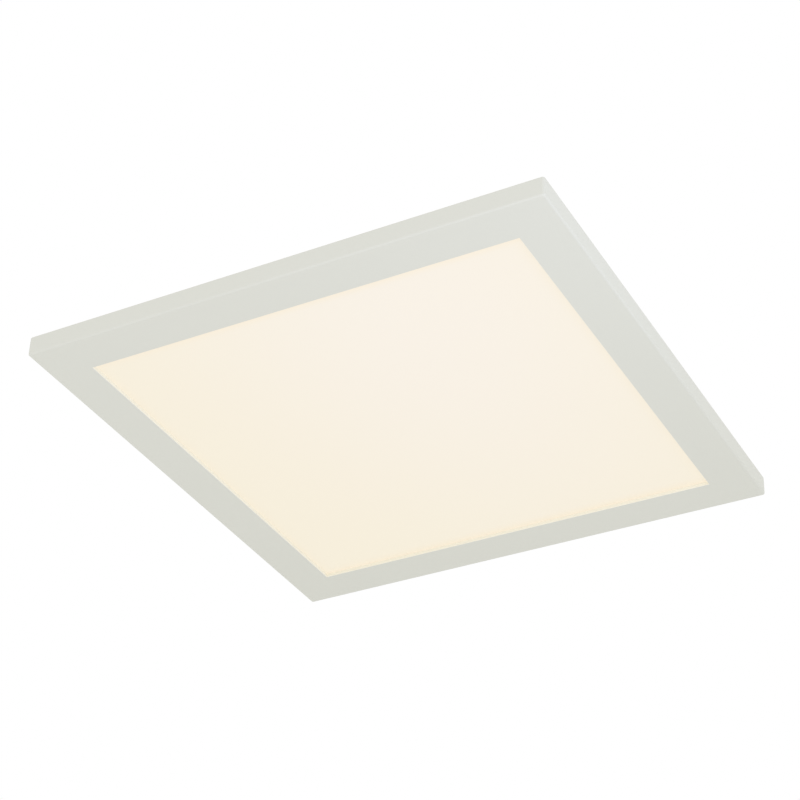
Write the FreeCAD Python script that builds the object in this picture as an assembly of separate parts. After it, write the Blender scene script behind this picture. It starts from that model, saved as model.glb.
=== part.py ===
"""Square flush-mount ceiling light: an edge-lit panel on a shallow sheet-steel housing.

Millimetres. The ceiling is the plane z = 0 and +Z points up into it, so every piece hangs below zero.
The origin is the middle of the ceiling plate. The lit face is the lowest one and looks down.
The two LED strips stand at the -X (left) and +X (right) edges; the driver lies along X on the +Y side.
"""
import FreeCAD, Part
import math
import os

V = FreeCAD.Vector

# ---- driving dimensions -------------------------------------------------------------------------
# front frame, one moulding: a broad flat face with a shallow skirt behind it
panel_side = 295.0
face_width = 24.4
face_thickness = 2.0
skirt_wall = 1.6
corner_radius = 1.5
front_edge_radius = 1.2
back_edge_radius = 0.8
lip_edge_radius = 0.3
back_rebate = 1.0            # how far the back plate lies inside the skirt's rear edge
boss_wall = 1.8              # round a screw's pilot hole
boss_end_inset = 52.5        # from the panel's side to the end bosses of a row
rib_thickness = 1.2
rib_end_gap = 30.8           # from the opal sheet's corner to the end of a rib

# optical stack, from the lit face upwards
diffuser_thickness = 1.8
guide_thickness = 3.0
reflector_thickness = 0.3
foam_thickness = 2.5
back_plate_thickness = 0.8
sheet_clearance = 0.4        # round the edges of the sheets
led_setback = 5.9            # from the edge of the opening to the face of the LED chips

# LED strips and the aluminium angles that carry them
chip_gap = 0.4               # between chip and light guide
chip_thickness = 0.8
chip_width = 3.5             # along the strip
chip_height = 2.8
chips_per_strip = 30
led_board_thickness = 1.0
led_board_margin = 0.1       # board edge to the sheet below it
strip_end_gap = 5.8          # from the opal sheet's edge to the end of a strip
spreader_thickness = 1.0
spreader_foot = 13.2         # width of the foot that lies on the back plate

# back plate
plate_corner_radius = 1.6
bead_radius = 6.0
bead_height = 1.0
bead_inset = 25.5            # from the panel's side to a bead's mid-line
bead_end_inset = 57.5        # from the panel's side to the end of a bead
back_screw_diameter = 2.9
back_screw_tip_gap = 1.9     # under the screw's tip in its boss
thread_depth = 0.25
screw_clearance = 0.15       # round a screw in a plain hole

# rear housing, a pressed sheet-steel box open to the ceiling
housing_side = 200.0
housing_height = 39.1
housing_wall = 1.0
housing_corner_radius = 4.0
housing_bend_radius = 1.5
ceiling_gap = 0.5            # shadow gap between the housing's rim and the ceiling
housing_screw_inset = 14.0   # from the housing's outer face to its floor screws
housing_screw_diameter = 4.0
clinch_nut_diameter = 7.5
clinch_nut_height = 1.6
collar_wall = 1.35           # burred collars that take the floor's small screws
collar_height = 3.0
vent_width = 3.0
vent_height = 14.0
vent_pitch = 9.0
vent_count = 9
vent_drop = 16.0             # from the rim to the middle of a vent

# ceiling plate and its two spring clips
ceiling_plate_thickness = 1.2
ceiling_plate_side_gap = 4.0     # to the housing's front and rear walls
clip_gap = 9.0                   # from the plate's flange to the housing's side wall
clip_flange_depth = 14.0
stiffening_flange_depth = 8.0
plate_bend_radius = 1.0
flange_end_gap = 12.0            # open corner at each end of a flange
slot_spacing_x = 110.0
slot_spacing_y = 120.0
slot_width = 5.5
slot_length = 14.0
plate_bead_length = 120.0
plate_bead_offset = 32.0
bushing_hole_diameter = 22.0
bushing_flange_lap = 2.5
bushing_flange_thickness = 1.5
bushing_height = 6.0
bushing_bore_diameter = 9.0
bushing_wall = 2.0
clip_thickness = 0.6
clip_width = 18.0
clip_top_drop = 2.0              # from the ceiling to the clip's upper end
clip_leg_overhang = 1.0          # leg below the flange
clip_hook_rise = 14.6            # from the housing's floor to the hook's corner
clip_hook_reach = 1.0            # how far the hook's corner enters the wall
clip_tip_rise = 7.6              # from the housing's floor to the tip
clip_tip_clearance = 5.0         # from the wall to the tip
clip_bend_radius = 1.2
clip_slot_margin = 3.0           # wall slot past each side of the clip
clip_slot_clearance = 0.3
rivet_diameter = 3.2
rivet_head_diameter = 6.0
rivet_head_height = 1.1
rivet_spacing = 9.0

# driver
driver_length = 112.0
driver_width = 42.0
driver_wall = 1.8
driver_headroom = 2.3            # above the tallest component
driver_base_height = 14.0
driver_corner_radius = 2.5
driver_side_gap = 18.0           # from the housing's rear wall
driver_ear_length = 10.0
driver_ear_width = 16.0
driver_ear_thickness = 2.0
driver_screw_diameter = 2.9
driver_board_thickness = 1.6
driver_board_clearance = 2.2     # board edge to case wall
standoff_height = 3.0
standoff_diameter = 4.0
lead_spread = 12.0               # between the two leads at each end of the driver
transformer_length = 24.0
transformer_width = 20.0
transformer_height = 13.0
core_leg = 6.0
core_outer_leg = 4.0
core_yoke = 3.0
winding_overhang = 3.0
capacitor_diameter = 10.0
capacitor_height = 13.5
choke_diameter = 15.0
choke_height = 8.0

# terminal block with one release button per pole
pole_count = 3
pole_pitch = 10.0
terminal_depth = 24.0
terminal_height = 16.0
terminal_end_wall = 1.0
terminal_front_gap = 35.0        # from the housing's front wall to the block's ear
terminal_ear_length = 8.0
terminal_ear_width = 10.0
terminal_ear_thickness = 2.0
wire_height = 6.0                # of the wire entries, above the floor
wire_entry_diameter = 3.6
wire_entry_depth = 9.0
lead_entry_depth = 8.0
cavity_width = 5.2
cavity_below = 3.6
cavity_above = 2.4
well_side = 5.6
well_web = 0.6                   # between a button's well and the contact cavity
button_clearance = 0.2
button_proud = 2.0
button_travel = 1.5
stem_side = 2.4
contact_thickness = 0.8
contact_width = 4.4

# earth point
earth_screw_diameter = 4.0
earth_washer_diameter = 9.0
earth_washer_thickness = 0.8
earth_ring_diameter = 8.6
earth_ring_thickness = 0.8
earth_barrel_length = 6.0
earth_barrel_diameter = 3.2
earth_gap = 30.0                 # from the block's ear to the earth screw

# leads
mains_lead_diameter = 2.2
dc_lead_diameter = 1.6
lead_clearance = 0.15
lead_wall_gap = 16.0             # from the housing's side wall to the mains leads
lead_pitch = 4.0                 # between the two mains leads
earth_ring_gap = 2.6             # from the mains leads to the ring terminal
earth_lead_gap = 7.0             # from the block's rear face to the earth lead
dc_hole_gap = 9.0                # from the driver's ear to the lead hole's middle
dc_pitch = 2.0
dc_drop_run = 6.0                # over which a lead comes down to its strip
open_bend = 8.0
tight_bend = 2.4
grommet_slack = 0.4              # round the two leads
grommet_wall = 2.3
grommet_flange_lap = 1.5
grommet_flange_thickness = 1.2

# screw heads, as shares of the thread diameter
head_ratio = 1.9
head_height_ratio = 0.6
recess_ratio = 0.55

# ---- levels, from the ceiling down ---------------------------------------------------------------
rim_z = -ceiling_gap
floor_bottom = rim_z - housing_height
floor_top = floor_bottom + housing_wall
plate_top = floor_bottom                      # back plate
plate_bottom = plate_top - back_plate_thickness
foam_bottom = plate_bottom - foam_thickness
guide_top = foam_bottom - reflector_thickness
guide_bottom = guide_top - guide_thickness
face_back = guide_bottom - diffuser_thickness
front_z = face_back - face_thickness
frame_back = plate_top + back_rebate
collar_top = floor_top + collar_height
board_top = floor_top + driver_wall + standoff_height + driver_board_thickness
tallest = max(transformer_height, capacitor_height, choke_height)
driver_lid_top = board_top + tallest + driver_headroom + driver_wall
terminal_top = floor_top + terminal_height
wire_z = floor_top + wire_height
cavity_bottom = wire_z - cavity_below
cavity_top = wire_z + cavity_above
well_bottom = cavity_top + well_web
foam_lead_z = plate_bottom - foam_thickness / 2
strip_z = (guide_top + guide_bottom) / 2      # middle of the LED chips

# ---- plan positions ------------------------------------------------------------------------------
corners = [(sx, sy) for sx in (-1, 1) for sy in (-1, 1)]
half = panel_side / 2
opening_half = half - face_width
led_face = opening_half + led_setback
guide_half_x = led_face - chip_gap
board_inner = led_face + chip_thickness
spreader_inner = board_inner + led_board_thickness
spreader_outer = spreader_inner + spreader_thickness
sheet_half = spreader_inner - sheet_clearance
strip_reach = sheet_half - strip_end_gap
rib_inner = sheet_half + sheet_clearance
rib_outer = rib_inner + rib_thickness
channel_y = rib_outer + sheet_clearance + dc_lead_diameter / 2
boss_at = (channel_y + dc_lead_diameter / 2 + half - skirt_wall) / 2
boss_end = half - boss_end_inset
boss_points = [(s * boss_at, k * boss_end) for s in (-1, 1) for k in (-1, 0, 1)]
boss_points += [(y, x) for x, y in boss_points]
pilot_diameter = back_screw_diameter - 2 * thread_depth

housing_half = housing_side / 2
housing_inner = housing_half - housing_wall
housing_screw_at = housing_half - housing_screw_inset
nut_shank = (clinch_nut_diameter + housing_screw_diameter) / 2
flange_x = housing_inner - clip_gap           # outer face of the ceiling plate's clip flanges
flange_y = housing_inner - ceiling_plate_side_gap

driver_y = housing_inner - driver_side_gap - driver_width / 2
driver_end = driver_length / 2
driver_screw_x = driver_end + driver_ear_length / 2

neutral_run_x = lead_wall_gap - housing_inner
live_run_x = neutral_run_x + lead_pitch
earth_x = live_run_x + (mains_lead_diameter + earth_ring_diameter) / 2 + earth_ring_gap
terminal_rear = earth_x + earth_lead_gap
terminal_mouth = terminal_rear + terminal_depth
terminal_x = (terminal_rear + terminal_mouth) / 2
cavity_x = (terminal_rear + lead_entry_depth, terminal_mouth - wire_entry_depth)
button_x = (cavity_x[0] + cavity_x[1]) / 2
terminal_half_y = pole_count * pole_pitch / 2 + terminal_end_wall
terminal_y = terminal_front_gap + terminal_ear_length + terminal_half_y - housing_inner
terminal_screw_y = [terminal_y + s * (terminal_half_y + terminal_ear_length / 2) for s in (-1, 1)]
pole_ys = [terminal_y + (i - (pole_count - 1) / 2) * pole_pitch for i in range(pole_count)]
earth_y = terminal_y + terminal_half_y + terminal_ear_length + earth_gap

lead_hole_x = driver_end + driver_ear_length + dc_hole_gap
grommet_bore = dc_pitch + dc_lead_diameter + 2 * grommet_slack
lead_hole_diameter = grommet_bore + 2 * grommet_wall


# ---- shape helpers -------------------------------------------------------------------------------
def span(x, y, z):
    """A box from three (low, high) pairs."""
    return Part.makeBox(x[1] - x[0], y[1] - y[0], z[1] - z[0], V(x[0], y[0], z[0]))


def centred(cx, cy, size_x, size_y, z):
    """A box centred at (cx, cy), from z[0] to z[1]."""
    return span((cx - size_x / 2, cx + size_x / 2), (cy - size_y / 2, cy + size_y / 2), z)


def on_side(side, near, far):
    """The range from near to far, on the negative or the positive side of zero."""
    return tuple(sorted((side * near, side * far)))


def rod(diameter, start, end):
    """A cylinder between two points."""
    axis = end - start
    return Part.makeCylinder(diameter / 2, axis.Length, start, axis)


def post(diameter, x, y, z):
    """An upright cylinder from z[0] to z[1]."""
    return rod(diameter, V(x, y, z[0]), V(x, y, z[1]))


def slab(size_x, size_y, radius, z, x=0.0, y=0.0):
    """A plate with rounded corners, centred at (x, y)."""
    hx, hy = size_x / 2, size_y / 2
    arc_mid = radius * (1 - math.sqrt(0.5))
    edges = []
    for sx, sy, flip in ((1, -1, 0), (1, 1, 1), (-1, 1, 0), (-1, -1, 1)):
        ends = [V(x + sx * (hx - radius), y + sy * hy, z[0]), V(x + sx * hx, y + sy * (hy - radius), z[0])]
        if flip:
            ends.reverse()
        mid = V(x + sx * (hx - arc_mid), y + sy * (hy - arc_mid), z[0])
        edges.append((ends[0], mid, ends[1]))
    outline = []
    for k, (start, mid, end) in enumerate(edges):
        outline.append(Part.Arc(start, mid, end).toShape())
        outline.append(Part.LineSegment(end, edges[(k + 1) % 4][0]).toShape())
    return Part.Face(Part.Wire(outline)).extrude(V(0, 0, z[1] - z[0]))


def slot_x(width, length, x, y, z):
    """A round-ended slot prism that runs along X."""
    reach = (length - width) / 2
    body = centred(x, y, 2 * reach, width, z)
    return body.fuse([post(width, x - reach, y, z), post(width, x + reach, y, z)])


def capsule(diameter, start, end):
    """A cylinder with a ball at each end."""
    balls = [Part.makeSphere(diameter / 2, p) for p in (start, end)]
    return rod(diameter, start, end).fuse(balls)


def bent_path(points, radii):
    """Straight runs joined by tangent arcs, one radius per inner point, each as the runs allow."""
    edges, at = [], points[0]
    for k in range(1, len(points) - 1):
        before, after = points[k] - points[k - 1], points[k + 1] - points[k]
        turn = before.getAngle(after)
        reach = min(radii[k - 1] * math.tan(turn / 2), 0.45 * min(before.Length, after.Length))
        radius = reach / math.tan(turn / 2)
        u, w = V(before).normalize(), V(after).normalize()
        start, end = points[k] - u * reach, points[k] + w * reach
        inward = (w - u).normalize()
        mid = points[k] + inward * (radius / math.cos(turn / 2) - radius)
        edges.append(Part.LineSegment(at, start).toShape())
        edges.append(Part.Arc(start, mid, end).toShape())
        at = end
    edges.append(Part.LineSegment(at, points[-1]).toShape())
    return Part.Wire(edges)


def lead(points, diameter, radii):
    """A round wire along a bent path."""
    path = bent_path(points, radii)
    circle = Part.makeCircle(diameter / 2, points[0], points[1] - points[0])
    return path.makePipeShell([Part.Wire(circle)], True, True)


def folded_strip(points, thickness, width, radius):
    """A flat strip of metal, folded along points in an XZ plane and centred on their y."""
    path = bent_path(points, [radius] * (len(points) - 2))
    along = (points[1] - points[0]).normalize()
    across, up = V(0, 1, 0), along.cross(V(0, 1, 0))
    ring = [points[0] + across * (a * width / 2) + up * (b * thickness / 2)
            for a, b in ((-1, -1), (1, -1), (1, 1), (-1, 1), (-1, -1))]
    return path.makePipeShell([Part.makePolygon(ring)], True, True)


def edges_at(shape, z, keep):
    """The shape's edges that lie at height z and whose middle passes keep(x, y)."""
    found = []
    for edge in shape.Edges:
        box = edge.BoundBox
        if abs(box.ZMin - z) < 1e-4 and abs(box.ZMax - z) < 1e-4 and keep(edge.CenterOfMass):
            found.append(edge)
    return found


def pan_screw(diameter, length, x, y, seat):
    """A pan-head screw, head up, its head resting at height seat, with a cross recess."""
    head_height = head_height_ratio * diameter
    head = post(head_ratio * diameter, x, y, (seat, seat + head_height))
    top = edges_at(head, seat + head_height, lambda c: True)
    head = head.makeFillet(0.45 * head_height, top)
    shank = post(diameter, x, y, (seat - length, seat))
    recess = (seat + recess_ratio * head_height, seat + head_height)
    arm, web = 0.95 * diameter, 0.22 * diameter
    cross = centred(x, y, arm, web, recess).fuse(centred(x, y, web, arm, recess))
    return head.fuse(shank).cut(cross)


def mirrored(shape):
    """The same piece on the other side of the YZ plane."""
    return shape.mirror(V(0, 0, 0), V(1, 0, 0))


# ---- ceiling mount -------------------------------------------------------------------------------
def ceiling_plate():
    """Zinc-plated plate with four flanges, four screw slots, two beads and the cable hole."""
    t = ceiling_plate_thickness
    plate = centred(0, 0, 2 * flange_x, 2 * flange_y, (-t, 0))
    inner_x, inner_y = flange_x - t, flange_y - t
    flanges = []
    reach_y, reach_x = flange_y - flange_end_gap, flange_x - flange_end_gap
    for s in (-1, 1):
        wall_x, wall_y = on_side(s, inner_x, flange_x), on_side(s, inner_y, flange_y)
        flanges.append(span(wall_x, (-reach_y, reach_y), (-clip_flange_depth, 0)))
        flanges.append(span((-reach_x, reach_x), wall_y, (-stiffening_flange_depth, 0)))
    plate = plate.fuse(flanges).removeSplitter()
    plate = plate.makeFillet(min(plate_bend_radius, 0.9 * t), edges_at(plate, 0, lambda c: True))
    for s in (-1, 1):
        y, axis_z = s * plate_bead_offset, bead_radius - bead_height - t
        ends = [V(k * plate_bead_length / 2, y, axis_z) for k in (-1, 1)]
        below = centred(0, y, 2 * flange_x, 4 * bead_radius, (-t - 2 * bead_height, -t))
        plate = plate.fuse(capsule(2 * bead_radius, *ends).common(below))
        plate = plate.cut(capsule(2 * (bead_radius - t), *ends))
    cuts = [slot_x(slot_width, slot_length, sx * slot_spacing_x / 2, sy * slot_spacing_y / 2, (-t, 0))
            for sx, sy in corners]
    cuts.append(post(bushing_hole_diameter, 0, 0, (-t, 0)))
    cuts += [rod(rivet_diameter, V(s * inner_x, y, z), V(s * flange_x, y, z))
             for s in (-1, 1) for y, z in rivet_points()]
    return plate.cut(cuts)


def cable_bushing():
    """Rubber bushing that lines the cable hole: a neck, a flange under the plate and a nozzle."""
    t = ceiling_plate_thickness
    neck = post(bushing_hole_diameter, 0, 0, (-t, 0))
    flange = post(bushing_hole_diameter + 2 * bushing_flange_lap, 0, 0, (-t - bushing_flange_thickness, -t))
    nozzle = post(bushing_bore_diameter + 2 * bushing_wall, 0, 0, (-bushing_height, -t))
    return neck.fuse([flange, nozzle]).cut(post(bushing_bore_diameter, 0, 0, (-bushing_height, 0)))


def rivet_points():
    """(y, z) of the rivets in each clip flange."""
    z = -(clip_top_drop + clip_flange_depth) / 2
    return [(-rivet_spacing / 2, z), (rivet_spacing / 2, z)]


def clip_points():
    """Mid-line of the right-hand clip: riveted leg, hook and lead-in tip."""
    leg_x = flange_x + clip_thickness / 2
    return [V(leg_x, 0, -clip_top_drop), V(leg_x, 0, -clip_flange_depth - clip_leg_overhang),
            V(housing_inner + clip_hook_reach, 0, floor_top + clip_hook_rise),
            V(housing_inner - clip_tip_clearance, 0, floor_top + clip_tip_rise)]


def spring_clip():
    """The right-hand leaf spring, with its two rivet holes."""
    strip = folded_strip(clip_points(), clip_thickness, clip_width, clip_bend_radius)
    return strip.cut([rod(rivet_diameter, V(flange_x, y, z), V(flange_x + clip_thickness, y, z))
                      for y, z in rivet_points()])


def clip_rivets():
    """Four rivets, each a shank with a head on either side."""
    rivets = []
    inner, outer = flange_x - ceiling_plate_thickness, flange_x + clip_thickness
    for y, z in rivet_points():
        shank = rod(rivet_diameter, V(inner, y, z), V(outer, y, z))
        heads = [rod(rivet_head_diameter, V(outer, y, z), V(outer + rivet_head_height, y, z)),
                 rod(rivet_head_diameter, V(inner - rivet_head_height, y, z), V(inner, y, z))]
        rivet = shank.fuse(heads)
        rivets += [rivet, mirrored(rivet)]
    return rivets


# ---- lit panel -----------------------------------------------------------------------------------
def front_frame():
    """One-piece white frame: flat face, skirt, screw bosses and two locating ribs."""
    solid = slab(panel_side, panel_side, corner_radius, (front_z, frame_back))
    front = edges_at(solid, front_z, lambda c: True)
    solid = solid.makeFillet(min(front_edge_radius, 0.8 * corner_radius, 0.8 * face_thickness), front)
    back = edges_at(solid, frame_back, lambda c: True)
    solid = solid.makeFillet(min(back_edge_radius, 0.8 * corner_radius, 0.8 * skirt_wall), back)
    inner_side = panel_side - 2 * skirt_wall
    inner_radius = max(corner_radius - skirt_wall, 0.2)
    frame = solid.cut(slab(inner_side, inner_side, inner_radius, (face_back, frame_back)))
    frame = frame.cut(centred(0, 0, 2 * opening_half, 2 * opening_half, (front_z, face_back)))
    lip = edges_at(frame, front_z, lambda c: max(abs(c.x), abs(c.y)) < opening_half + 1e-3)
    frame = frame.makeFillet(min(lip_edge_radius, 0.8 * face_thickness), lip)
    z = (face_back, plate_bottom)
    bosses = [post(pilot_diameter + 2 * boss_wall, x, y, z) for x, y in boss_points]
    pilots = [post(pilot_diameter, x, y, z) for x, y in boss_points]
    rib_reach = sheet_half - rib_end_gap
    ribs = [span((-rib_reach, rib_reach), on_side(s, rib_inner, rib_outer), (face_back, guide_top))
            for s in (-1, 1)]
    return frame.fuse(bosses + ribs).cut(pilots)


def opal_diffuser():
    """Opal sheet that shows in the opening, lying on the face's back."""
    return centred(0, 0, 2 * sheet_half, 2 * sheet_half, (face_back, guide_bottom))


def light_guide():
    """Clear acrylic sheet that spreads the LEDs' light."""
    return centred(0, 0, 2 * guide_half_x, 2 * sheet_half, (guide_bottom, guide_top))


def reflector_sheet():
    """White film above the light guide."""
    return centred(0, 0, 2 * guide_half_x, 2 * sheet_half, (guide_top, foam_bottom))


def foam_pad():
    """Foam that presses the stack down, cut away for the angles, the nuts and the leads."""
    width = 2 * (spreader_inner - spreader_foot - sheet_clearance)
    pad = centred(0, 0, width, 2 * sheet_half, (foam_bottom, plate_bottom))
    z = (foam_bottom, plate_bottom)
    relief = [post(clinch_nut_diameter + 2 * sheet_clearance, sx * housing_screw_at, sy * housing_screw_at, z)
              for sx, sy in corners]
    slot_half = dc_pitch / 2 + dc_lead_diameter / 2 + 2 * sheet_clearance
    lead_slot = span((lead_hole_x - slot_half, lead_hole_x + slot_half), (driver_y, sheet_half), z)
    return pad.cut(relief + [post(lead_hole_diameter, lead_hole_x, driver_y, z), lead_slot])


def back_plate():
    """Aluminium back of the panel, with pressed beads, inside the skirt's rear edge."""
    side = panel_side - 2 * skirt_wall - 2 * sheet_clearance
    plate = slab(side, side, plate_corner_radius, (plate_bottom, plate_top))
    axis_z = plate_top + bead_height - bead_radius
    across, along = half - bead_inset, half - bead_end_inset
    above = centred(0, 0, side, side, (plate_top, plate_top + 2 * bead_height))
    for turn in range(4):
        ends = [V(across, k * along, axis_z) for k in (-1, 1)]
        rib = capsule(2 * bead_radius, *ends).common(above)
        groove = capsule(2 * (bead_radius - back_plate_thickness), *ends)
        for shape in (rib, groove):
            shape.rotate(V(0, 0, 0), V(0, 0, 1), 90 * turn)
        plate = plate.fuse(rib).cut(groove)
    z = (plate_bottom, plate_top)
    holes = [post(back_screw_diameter + 2 * screw_clearance, x, y, z) for x, y in boss_points]
    holes += [post(nut_shank, sx * housing_screw_at, sy * housing_screw_at, z) for sx, sy in corners]
    return plate.cut(holes + [post(lead_hole_diameter, lead_hole_x, driver_y, z)])


def back_plate_screws():
    """Self-tapping screws that hold the back plate to the frame's bosses."""
    screws = []
    tip = face_back + back_screw_tip_gap
    for x, y in boss_points:
        upper = pan_screw(back_screw_diameter, back_plate_thickness, x, y, plate_top)
        screws.append(upper.fuse(post(pilot_diameter, x, y, (tip, plate_bottom))))
    return screws


def heat_spreader():
    """Right-hand aluminium angle: an upright behind the LED board and a foot on the back plate."""
    reach = (-strip_reach, strip_reach)
    upright = span((spreader_inner, spreader_outer), reach, (face_back, plate_bottom))
    foot_z = (plate_bottom - spreader_thickness, plate_bottom)
    foot = span((spreader_inner - spreader_foot, spreader_inner), reach, foot_z)
    return upright.fuse(foot).removeSplitter()


def led_board():
    """Right-hand LED board, on the angle's inner face."""
    z = (guide_bottom + led_board_margin, plate_bottom - spreader_thickness - led_board_margin)
    return span((board_inner, spreader_inner), (-strip_reach, strip_reach), z)


def led_chips():
    """Right-hand row of LED chips, facing the light guide's edge."""
    pitch = 2 * strip_reach / chips_per_strip
    z = (strip_z - chip_height / 2, strip_z + chip_height / 2)
    ys = [(k - (chips_per_strip - 1) / 2) * pitch for k in range(chips_per_strip)]
    return [span((led_face, board_inner), (y - chip_width / 2, y + chip_width / 2), z) for y in ys]


def clinch_nuts():
    """Nuts pressed into the back plate for the housing's floor screws."""
    nuts = []
    for sx, sy in corners:
        x, y = sx * housing_screw_at, sy * housing_screw_at
        body = post(clinch_nut_diameter, x, y, (plate_bottom - clinch_nut_height, plate_bottom))
        shank = post(nut_shank, x, y, (plate_bottom, plate_top))
        bore = post(housing_screw_diameter, x, y, (plate_bottom - clinch_nut_height, plate_top))
        nuts.append(body.fuse(shank).cut(bore))
    return nuts


# ---- rear housing --------------------------------------------------------------------------------
def clip_slot_z():
    """Bottom and top of the wall slot that the clip's hook enters, clear of the strip."""
    leg, hook, tip = clip_points()[1:]
    over = (housing_inner - leg.x) / (hook.x - leg.x)
    upper = leg.z + over * (hook.z - leg.z) + clip_thickness
    under = (hook.x - housing_inner) / (hook.x - tip.x)
    lower = hook.z + under * (tip.z - hook.z) - clip_thickness
    return lower - clip_slot_clearance, upper + clip_slot_clearance


def collar_points():
    """Every place where a small screw goes into a burred collar of the floor."""
    points = [(s * driver_screw_x, driver_y, driver_screw_diameter) for s in (-1, 1)]
    points += [(terminal_x, y, driver_screw_diameter) for y in terminal_screw_y]
    points.append((earth_x, earth_y, earth_screw_diameter))
    return points


def rear_housing():
    """Pressed box with clip slots, vents, floor holes and screw collars."""
    outer = slab(housing_side, housing_side, housing_corner_radius, (floor_bottom, rim_z))
    bottom = edges_at(outer, floor_bottom, lambda c: True)
    outer = outer.makeFillet(min(housing_bend_radius, 0.8 * housing_corner_radius), bottom)
    inner_radius = max(housing_corner_radius - housing_wall, 0.2)
    shell = outer.cut(slab(2 * housing_inner, 2 * housing_inner, inner_radius, (floor_top, rim_z)))
    collars = [post(d + 2 * collar_wall, x, y, (floor_top, collar_top)) for x, y, d in collar_points()]
    shell = shell.fuse(collars)
    cuts = [post(d, x, y, (floor_bottom, collar_top)) for x, y, d in collar_points()]
    floor = (floor_bottom, floor_top)
    hole = housing_screw_diameter + 2 * screw_clearance
    cuts += [post(hole, sx * housing_screw_at, sy * housing_screw_at, floor) for sx, sy in corners]
    cuts.append(post(lead_hole_diameter, lead_hole_x, driver_y, floor))
    slot_reach = clip_width / 2 + clip_slot_margin
    for s in (-1, 1):
        wall = on_side(s, housing_inner, housing_half)
        cuts.append(span(wall, (-slot_reach, slot_reach), clip_slot_z()))
        for k in range(vent_count):
            cuts += vent((k - (vent_count - 1) / 2) * vent_pitch, wall)
    return shell.cut(cuts)


def vent(x, wall):
    """The cutters of one upright round-ended vent slot through the wall's range of y."""
    middle, reach = rim_z - vent_drop, (vent_height - vent_width) / 2
    ends = [rod(vent_width, V(x, wall[0], z), V(x, wall[1], z)) for z in (middle - reach, middle + reach)]
    return ends + [span((x - vent_width / 2, x + vent_width / 2), wall, (middle - reach, middle + reach))]


def housing_screws():
    """Screws from the housing's floor into the clinch nuts."""
    length = housing_wall + back_plate_thickness + clinch_nut_height
    return [pan_screw(housing_screw_diameter, length, sx * housing_screw_at, sy * housing_screw_at, floor_top)
            for sx, sy in corners]


def lead_grommet():
    """Grommet that lines the lead hole through floor and back plate."""
    top = floor_top + grommet_flange_thickness
    neck = post(lead_hole_diameter, lead_hole_x, driver_y, (plate_bottom, floor_top))
    flange = post(lead_hole_diameter + 2 * grommet_flange_lap, lead_hole_x, driver_y, (floor_top, top))
    return neck.fuse(flange).cut(post(grommet_bore, lead_hole_x, driver_y, (plate_bottom, top)))


# ---- driver --------------------------------------------------------------------------------------
def driver_lead_holes():
    """Cylinders through the driver's end walls, one per lead."""
    cuts = []
    for s, diameter in ((-1, mains_lead_diameter), (1, dc_lead_diameter)):
        z = board_top + diameter / 2 + lead_clearance / 3
        for k in (-1, 1):
            y = driver_y + k * lead_spread / 2
            ends = [V(s * (driver_end - driver_wall), y, z), V(s * driver_end, y, z)]
            cuts.append(rod(diameter + 2 * lead_clearance, *ends))
    return cuts


def driver_inside(z):
    """The space inside the driver's case, from z[0] to z[1]."""
    length, width = driver_length - 2 * driver_wall, driver_width - 2 * driver_wall
    return slab(length, width, max(driver_corner_radius - driver_wall, 0.2), z, 0, driver_y)


def driver_base():
    """Lower half of the driver's case, with its two ears and four board standoffs."""
    split = floor_top + driver_base_height
    body = slab(driver_length, driver_width, driver_corner_radius, (floor_top, split), 0, driver_y)
    ear_z = (collar_top, collar_top + driver_ear_thickness)
    overlap = driver_corner_radius
    ears = []
    for s in (-1, 1):
        reach = driver_ear_width / 2
        along = on_side(s, driver_end - overlap, driver_end + driver_ear_length)
        ears.append(span(along, (driver_y - reach, driver_y + reach), ear_z))
    body = body.fuse(ears)
    body = body.cut(driver_inside((floor_top + driver_wall, split)))
    inset = driver_wall + driver_board_clearance + standoff_diameter
    posts = [post(standoff_diameter, sx * (driver_end - inset), driver_y + sy * (driver_width / 2 - inset),
                  (floor_top + driver_wall, floor_top + driver_wall + standoff_height)) for sx, sy in corners]
    hole = driver_screw_diameter + 2 * screw_clearance
    holes = [post(hole, s * driver_screw_x, driver_y, ear_z) for s in (-1, 1)]
    return body.fuse(posts).cut(driver_lead_holes() + holes)


def driver_lid():
    """Upper half of the driver's case, a lid with rounded top edges."""
    split = floor_top + driver_base_height
    body = slab(driver_length, driver_width, driver_corner_radius, (split, driver_lid_top), 0, driver_y)
    top = edges_at(body, driver_lid_top, lambda c: True)
    body = body.makeFillet(driver_wall / 2, top)
    return body.cut(driver_inside((split, driver_lid_top - driver_wall)))


def driver_board():
    """Circuit board on the base's standoffs."""
    inset = 2 * (driver_wall + driver_board_clearance)
    return centred(0, driver_y, driver_length - inset, driver_width - inset,
                   (board_top - driver_board_thickness, board_top))


def transformer_window():
    """Height range of the windows between the transformer's legs."""
    return board_top + core_yoke, board_top + transformer_height - core_yoke


def driver_transformer():
    """Ferrite core: a centre leg and two outer legs between two yokes."""
    z = (board_top, board_top + transformer_height)
    core = centred(0, driver_y, transformer_length, transformer_width, z)
    y = (driver_y - transformer_width / 2, driver_y + transformer_width / 2)
    window = [span(on_side(s, core_leg / 2, transformer_length / 2 - core_outer_leg), y, transformer_window())
              for s in (-1, 1)]
    return core.cut(window)


def transformer_winding():
    """Taped coil round the core's centre leg, standing out at both of its ends."""
    width = transformer_length - 2 * core_outer_leg
    z = transformer_window()
    coil = slab(width, transformer_width + 2 * winding_overhang, winding_overhang, z, 0, driver_y)
    return coil.cut(centred(0, driver_y, core_leg, transformer_width, z))


def driver_capacitors():
    """Input and output electrolytic capacitors, standing on the board."""
    cans = []
    for x in (-driver_end / 2, driver_end / 2):
        can = post(capacitor_diameter, x, driver_y, (board_top, board_top + capacitor_height))
        rim = edges_at(can, board_top + capacitor_height, lambda c: True)
        cans.append(can.makeFillet(capacitor_diameter / 14, rim))
    return cans


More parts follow.
